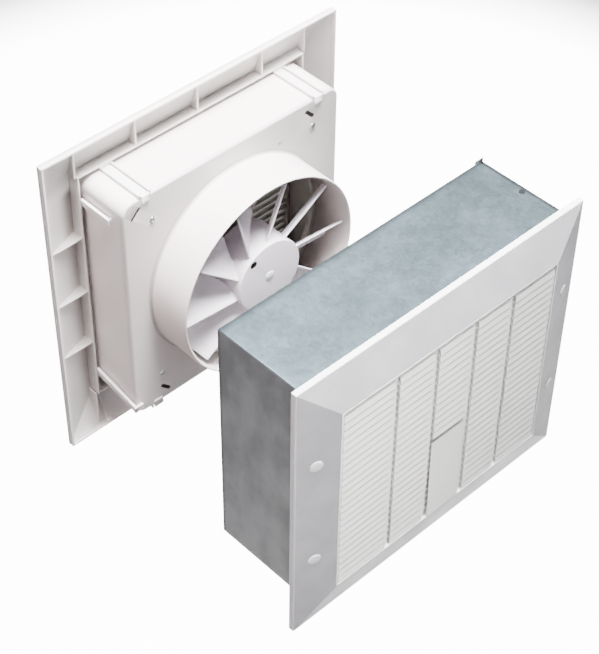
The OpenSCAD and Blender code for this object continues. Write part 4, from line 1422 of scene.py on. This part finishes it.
@dataclass
class FasciaStraps(Assembly):
    """The straps over the plinth and the arms at its sides."""

    width: float = 16.0 * MM
    thick: float = 2.0 * MM
    ridge: float = 2.0 * MM
    hook: float = 7.0 * MM
    arm_w: float = 7.0 * MM
    arm_t: float = 3.5 * MM
    arm_l: float = 46.0 * MM
    arm_drop: float = 14.0 * MM
    gap: float = 0.3 * MM
    slit: float = 0.9 * MM
    strap_in: float = 30.0 * MM
    top_in: float = 27.0 * MM
    foot_in: float = 24.0 * MM
    room: float = 5.0 * MM
    band_share: float = 0.6
    soft: float = 0.45 * MM

    def __post_init__(self) -> None:
        """Takes the plinth's and the straps' places from their nodes."""
        _, high, middle, _ = extent("plinth")
        self.half, self.lift = high.x, middle.z
        low, high, _, _ = extent("strap_clips")
        self.back_y, self.root_y = low.y + self.thick, high.y

    def strap(self, x: float, side: int) -> Draft:
        """Makes one strap.

        Args:
            x: Its place across the plinth.
            side: 1 on the plinth's top, -1 at its foot.

        Returns:
            The strap with its raised edges and its hook.
        """
        draft = Draft()
        half, thick, back, root = self.width / 2, self.thick, self.back_y, self.root_y
        band = half - thick - self.slit
        inner = half - thick - 2 * self.gap
        slabs = [(-band, band, back, root, 0.0, thick * self.band_share),
                 (-half, half, root - thick, root, 0.0, thick),
                 (-half, -half + thick, back, root, 0.0, thick + self.ridge),
                 (half - thick, half, back, root, 0.0, thick + self.ridge),
                 (-inner, inner, back - thick, back, -self.hook, thick),
                 (-inner, inner, back - thick, back + thick, 0.0, thick),
                 (-half, half, root - thick, root, 0.0, self.room - self.gap)]
        base = self.half + self.gap
        for x0, x1, y0, y1, h0, h1 in slabs:
            heights = sorted(self.lift + side * (base + h) for h in (h0, h1))
            draft.block((x + x0, y0, heights[0]), (x + x1, y1, heights[1]))
        return draft

    def arms(self, side: int) -> Draft:
        """Makes the two arms at one side.

        Args:
            side: 1 or -1, the sign of the side's X.

        Returns:
            The short level arm and the long sloping arm.
        """
        start = self.root_y - self.arm_l
        top, foot = self.lift + self.half - self.top_in, self.lift - self.half + self.foot_in
        end, low_end = self.back_y - self.arm_t, foot - self.arm_drop
        low, high = top - self.arm_w / 2, top + self.arm_w / 2

        def across(x0: float, x1: float) -> list[float]:
            """Returns two distances from the plinth's side as sorted X."""
            return sorted((side * (self.half + x0), side * (self.half + x1)))

        x0, x1 = across(self.room - self.arm_t, self.room)
        x2, x3 = across(self.gap, self.room - self.arm_t / 2)
        x4, x5 = across(-self.hook, self.room)
        outline = [(self.root_y, foot), (self.root_y, foot + self.arm_w), (end, low_end + self.arm_w), (end, low_end)]
        draft = Draft().block((x0, start, low), (x1, self.root_y, high))
        draft.block((x2, start, low), (x3, start + self.arm_t, high)).prism(outline, x0, x1, "yzx")
        return draft.block((x4, end, low_end), (x5, self.back_y - self.gap, low_end + self.arm_w))

    def build(self) -> None:
        """Builds the straps and the arms."""
        straps = [self.strap(sx * (self.half - self.strap_in), sz) for sx in (-1, 1) for sz in (-1, 1)]
        arms = [self.arms(side) for side in (-1, 1)]
        for name, drafts, node in (("fascia_straps", straps, "strap_clips"), ("fascia_arms", arms, "side_arms")):
            piece = softened(merged(name, [draft.finish(name) for draft in drafts]), self.soft)
            self.shop.place(piece, Body.FAN, Slot.WHITE, WHITE, node)


@dataclass
class Impeller(Assembly):
    """The hub cup with its pitched and cambered blades, and the small cap on the shaft."""

    hub_r: float = 44.0 * MM
    hub_wall: float = 2.5 * MM
    hub_l: float = 48.0 * MM
    hub_soft: float = 1.2 * MM
    hub_steps: int = 96
    shaft_r: float = 4.0 * MM
    tip_r: float = 114.0 * MM
    blade_t: float = 2.2 * MM
    blade_depth: float = 27.0 * MM
    blade_in: float = 6.0 * MM
    root_depth: float = 11.0 * MM
    flare: float = 26.0 * MM
    pitch: float = 37.0
    camber: float = 75.0 * MM
    count: int = 10
    first: float = 31.0
    ribs: int = 6
    rib_soft: float = 0.3 * MM
    crease: float = 42.0
    cap_steps: int = 40
    cap_crease: float = 60.0
    hole_steps: int = 28
    hole_r: float = 4.6 * MM
    hole_turn: float = 129.0
    hole_place: float = 0.84
    stations: Sequence[tuple[float, float]] = (
        (0.0, 2.2), (0.02, 1.7), (0.05, 1.25), (0.10, 1.05), (0.18, 1.0), (0.27, 1.0), (0.33, 1.0), (0.37, 1.0),
        (0.40, 1.0), (0.7, 0.95), (0.985, 0.9), (1.0, 0.55))

    def __post_init__(self) -> None:
        """Takes the impeller's place from its node."""
        self.face_y = extent("impeller")[0].y
        self.blade_y = self.face_y + self.blade_in + self.blade_depth / 2

    def section(self, thickness: float, share: float) -> list[tuple[float, float]]:
        """Works out the blade's section, with round edges.

        Args:
            thickness: Thickness of the section.
            share: Part of the chord that is there, counted from the front edge.

        Returns:
            Its points in Y and Z, centred on the full chord.
        """
        chord = self.blade_depth / math.sin(math.radians(self.pitch))
        blunt = self.blade_t / 2 / self.camber
        span = math.asin(chord / 2 / self.camber) - blunt
        sag = self.camber - math.sqrt(self.camber ** 2 - chord ** 2 / 4)
        rear = span * (2 * share - 1)
        steps = 10
        ends = arc(5, math.pi)[1:-1]
        half = thickness / 2
        polar = [(self.camber + half, -span + (rear + span) * i / steps) for i in range(steps + 1)]
        polar += [(self.camber + half * math.cos(a), rear + blunt * math.sin(a)) for a in ends]
        polar += [(self.camber - half, rear - (rear + span) * i / steps) for i in range(steps + 1)]
        polar += [(self.camber - half * math.cos(a), -span - blunt * math.sin(a)) for a in ends]
        turn = math.radians(self.pitch - 90)
        points = []
        for r, a in polar:
            u, v = r * math.sin(a), r * math.cos(a) - self.camber + sag / 2
            points.append((u * math.cos(turn) - v * math.sin(turn), u * math.sin(turn) + v * math.cos(turn)))
        return points

    def blade(self) -> bpy.types.Object:
        """Makes one blade along +X.

        Returns:
            The blade, from inside the hub's wall to the tip circle.
        """
        rings = []
        for share, swell in self.stations:
            flared = min(1.0, share * (self.tip_r - self.hub_r) / self.flare)
            depth = (self.root_depth + (self.blade_depth - self.root_depth) * flared) / self.blade_depth
            ring = []
            for y, z in self.section(self.blade_t * swell, depth):
                root = math.sqrt((self.hub_r - self.hub_wall / 2) ** 2 - z * z)
                tip = math.sqrt(self.tip_r ** 2 - z * z)
                ring.append(Vector((root + (tip - root) * share, self.blade_y + y, z)))
            rings.append(ring)
        return Draft().loft(rings).finish("impeller_blades")

    def hub(self) -> bpy.types.Object:
        """Makes the hub cup.

        Returns:
            The cup with its shaft sleeve and the balance hole in its face.
        """
        soft, wall = self.hub_soft, self.hub_wall
        boss, inner = self.shaft_r + 2 * wall, self.hub_r - wall
        face, back = self.face_y, self.face_y + self.hub_l
        edge = [(self.hub_r - soft * (1 - math.sin(a)), face + soft * (1 - math.cos(a))) for a in arc(5)]
        profile = [(self.shaft_r, face), *edge, (self.hub_r, back), (inner, back), (inner, face + wall),
                   (boss, face + wall), (boss, back), (self.shaft_r, back)]
        hub = Draft().lathe(profile, self.hub_steps).finish("hub_cup")
        turn = math.radians(self.hole_turn)
        spot = Vector((math.cos(turn), 0, math.sin(turn))) * (self.hub_r * self.hole_place)
        ends = (face - MM, face + 2 * wall)
        hole = Draft().loft([circle(self.hole_r, y, self.hole_steps, spot) for y in ends])
        return cut(hub, hole.finish("hub_cutter"))

    def build(self) -> None:
        """Builds the impeller and its cap and dresses the rest of the rotor."""
        spin, wall, paint = self.shop.rings, self.hub_wall / 2, self.shop.finish(BLADE)
        blades = spin.run(self.blade(), Count=self.count, First_turn=-math.radians(self.first), Material=paint)
        rib = Draft().block((self.shaft_r * 2, self.face_y + wall, -wall),
                            (self.hub_r - wall, self.face_y + self.hub_l / 2 + wall, wall))
        rib_seed = softened(rib.finish("hub_ribs"), self.rib_soft)
        ribs = spin.run(rib_seed, Count=self.ribs, First_turn=0.0, Material=paint)
        piece = creased(merged("impeller_moulding", [blades, self.hub(), ribs]), self.crease)
        self.shop.place(piece, Body.ROTOR, Slot.BLADE, BLADE, "impeller")
        low, _, _, half = extent("hub_cap")
        profile = [(0.0, self.face_y), *dome(half.x, self.face_y, self.face_y - low.y, 6)]
        cap = creased(Draft().lathe(profile, self.cap_steps).finish("hub_cap_dome"), self.cap_crease)
        self.shop.place(cap, Body.ROTOR, Slot.IVORY, WHITE_GRILLE, "hub_cap")
        self.shop.keep(STEEL, "motor_shaft", "shaft_clips")
        self.shop.keep(LAMINATION, "rotor_core")


@dataclass
class MotorAndWiring(Assembly):
    """The motor and the electrical pieces inside the plinth, kept as the frame has them."""

    def build(self) -> None:
        """Gives each piece its finish."""
        self.shop.keep(CASTING, "motor_front_shell", "motor_rear_shell")
        self.shop.keep(LAMINATION, "stator_stack")
        self.shop.keep(BRONZE, "front_bearing", "rear_bearing")
        self.shop.keep(STEEL, "motor_bolts", "motor_nuts", "capacitor_strap")
        self.shop.keep(WHITE_GRILLE, "terminal_block", "run_capacitor")


@dataclass(frozen=True)
class SoftLight:
    """A square soft light aimed at the fan, with its power in watts and its beam in degrees."""

    name: str
    place: tuple[float, float, float]
    size: float
    power: float
    colour: Colour
    spread: float
    target: tuple[float, float, float] = (0.0, 0.18, 0.0)

    def build(self) -> None:
        """Adds the light to the scene."""
        lamp = bpy.data.lights.new(self.name, "AREA")
        lamp.size, lamp.energy, lamp.color = self.size, self.power, self.colour
        lamp.spread = math.radians(self.spread)
        holder = bpy.data.objects.new(self.name, lamp)
        aim = Vector(self.target) - Vector(self.place)
        holder.matrix_world = Matrix.Translation(self.place) @ aim.to_track_quat("-Z", "Y").to_matrix().to_4x4()
        bpy.context.scene.collection.objects.link(holder)


@dataclass
class Studio:
    """The pale floor with its glowing patch, the soft lights and the camera."""

    floor_z: float = -4.0
    floor_half: float = 16.0
    floor_t: float = 0.02
    pool: tuple[float, float] = (2.81, 3.10)
    pool_rim: tuple[float, float] = (2.3, 3.1)
    glow: float = 14.0
    air: tuple[float, float, float, float] = (0.965, 0.935, 1.0, 1.0)
    air_strength: float = 0.36
    lights: tuple[SoftLight, ...] = (
        SoftLight("top_light", (0.12, 0.02, 2.2), 1.1, 64.0, (1.0, 0.985, 0.98), 50.0),
        SoftLight("left_light", (-2.4, -0.2, 1.3), 1.4, 6.2, (1.0, 0.82, 0.80), 80.0),
        SoftLight("front_light", (-0.25, -2.4, 0.1), 0.6, 1.8, (1.0, 1.0, 0.99), 20.0, (-0.15, 0.0, 0.12)))
    camera: tuple[float, float, float] = (-0.968081, -0.802911, 1.316140)
    azimuth: float = -44.103
    elevation: float = 44.365
    roll: float = 0.788
    focal_px: float = 1793.96
    photo_h: float = 654.0
    sensor: float = 36.0

    def build(self) -> None:
        """Builds the floor, the world, the lights and the camera."""
        self.build_floor()
        world = bpy.data.worlds.new("studio_air")
        world.use_nodes = True
        background = world.node_tree.nodes["Background"]
        background.inputs["Color"].default_value = self.air
        background.inputs["Strength"].default_value = self.air_strength
        bpy.context.scene.world = world
        for light in self.lights:
            light.build()
        self.build_camera()

    def build_floor(self) -> None:
        """Builds the floor, well below the hanging fan, with a glowing patch behind it: painted light that shines on
        the fan.
        """
        size, top = self.floor_half, self.floor_z
        floor = Draft().block((-size, -size, top - self.floor_t), (size, size, top)).finish("floor")
        graph = ShaderGraph("floor_paint")
        graph.set(Base_Color=graph.tint(graph.cloud(2.0, 3.0) * 0.3, (0.82, 0.82, 0.82), (0.79, 0.79, 0.79)))
        # Painted light: a round patch of the floor glows and lights the fan from behind and below.
        reach = (graph.axis("x") - self.pool[0]).length(graph.axis("y") - self.pool[1])
        glow_share = 1.0 - reach.ramp(*self.pool_rim)
        graph.set(Emission_Color=graph.tint(glow_share, (0.0, 0.0, 0.0), (1.0, 1.0, 1.0)), Emission_Strength=self.glow)
        graph.set(Roughness=0.9)
        floor.data.materials.append(graph.material)

    def build_camera(self) -> None:
        """Builds the camera at the photograph's viewing angle."""
        azimuth, elevation = math.radians(self.azimuth), math.radians(self.elevation)
        back = Vector((math.sin(azimuth) * math.cos(elevation), -math.cos(azimuth) * math.cos(elevation),
                       math.sin(elevation)))
        right = Vector((math.cos(azimuth), math.sin(azimuth), 0.0))
        up = back.cross(right)
        turn = Matrix((right, up, back)).transposed() @ Matrix.Rotation(math.radians(self.roll), 3, "Z")
        data = bpy.data.cameras.new("photo_camera")
        data.sensor_fit = "VERTICAL"
        data.sensor_height = self.sensor
        data.lens = self.focal_px / self.photo_h * self.sensor
        data.clip_start, data.clip_end = 0.05, 60.0
        camera = bpy.data.objects.new("photo_camera", data)
        camera.matrix_world = Matrix.Translation(self.camera) @ turn.to_4x4()
        bpy.context.scene.collection.objects.link(camera)
        bpy.context.scene.camera = camera


def main() -> None:
    """Builds the studio and every sub-assembly, in order."""
    logging.basicConfig(level=logging.INFO, format="%(name)s: %(message)s")
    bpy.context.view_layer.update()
    shop = Workshop()
    assemblies = [
        ExteriorGrille(shop),
        LouvreInsert(shop, "exterior_louvres", "louvre_panel", Body.WALL, IVORY, 1,
                     (-78 * MM, -22.5 * MM, 32.5 * MM, 87 * MM), patch=119 * MM, lean=0.6 * MM),
        WallSleeve(shop),
        FanPlinth(shop),
        RoomFascia(shop),
        LouvreInsert(shop, "room_louvres", "intake_louvres", Body.FAN, ROOM_IVORY, -1,
                     (-84.425 * MM, -27 * MM, 27 * MM, 84.425 * MM), tilt=26.0, drip=1.0 * MM, baffle=3.4 * MM),
        FasciaStraps(shop),
        Impeller(shop),
        MotorAndWiring(shop),
    ]
    Studio().build()
    for assembly in assemblies:
        assembly.build()


if __name__ == "__main__":
    main()
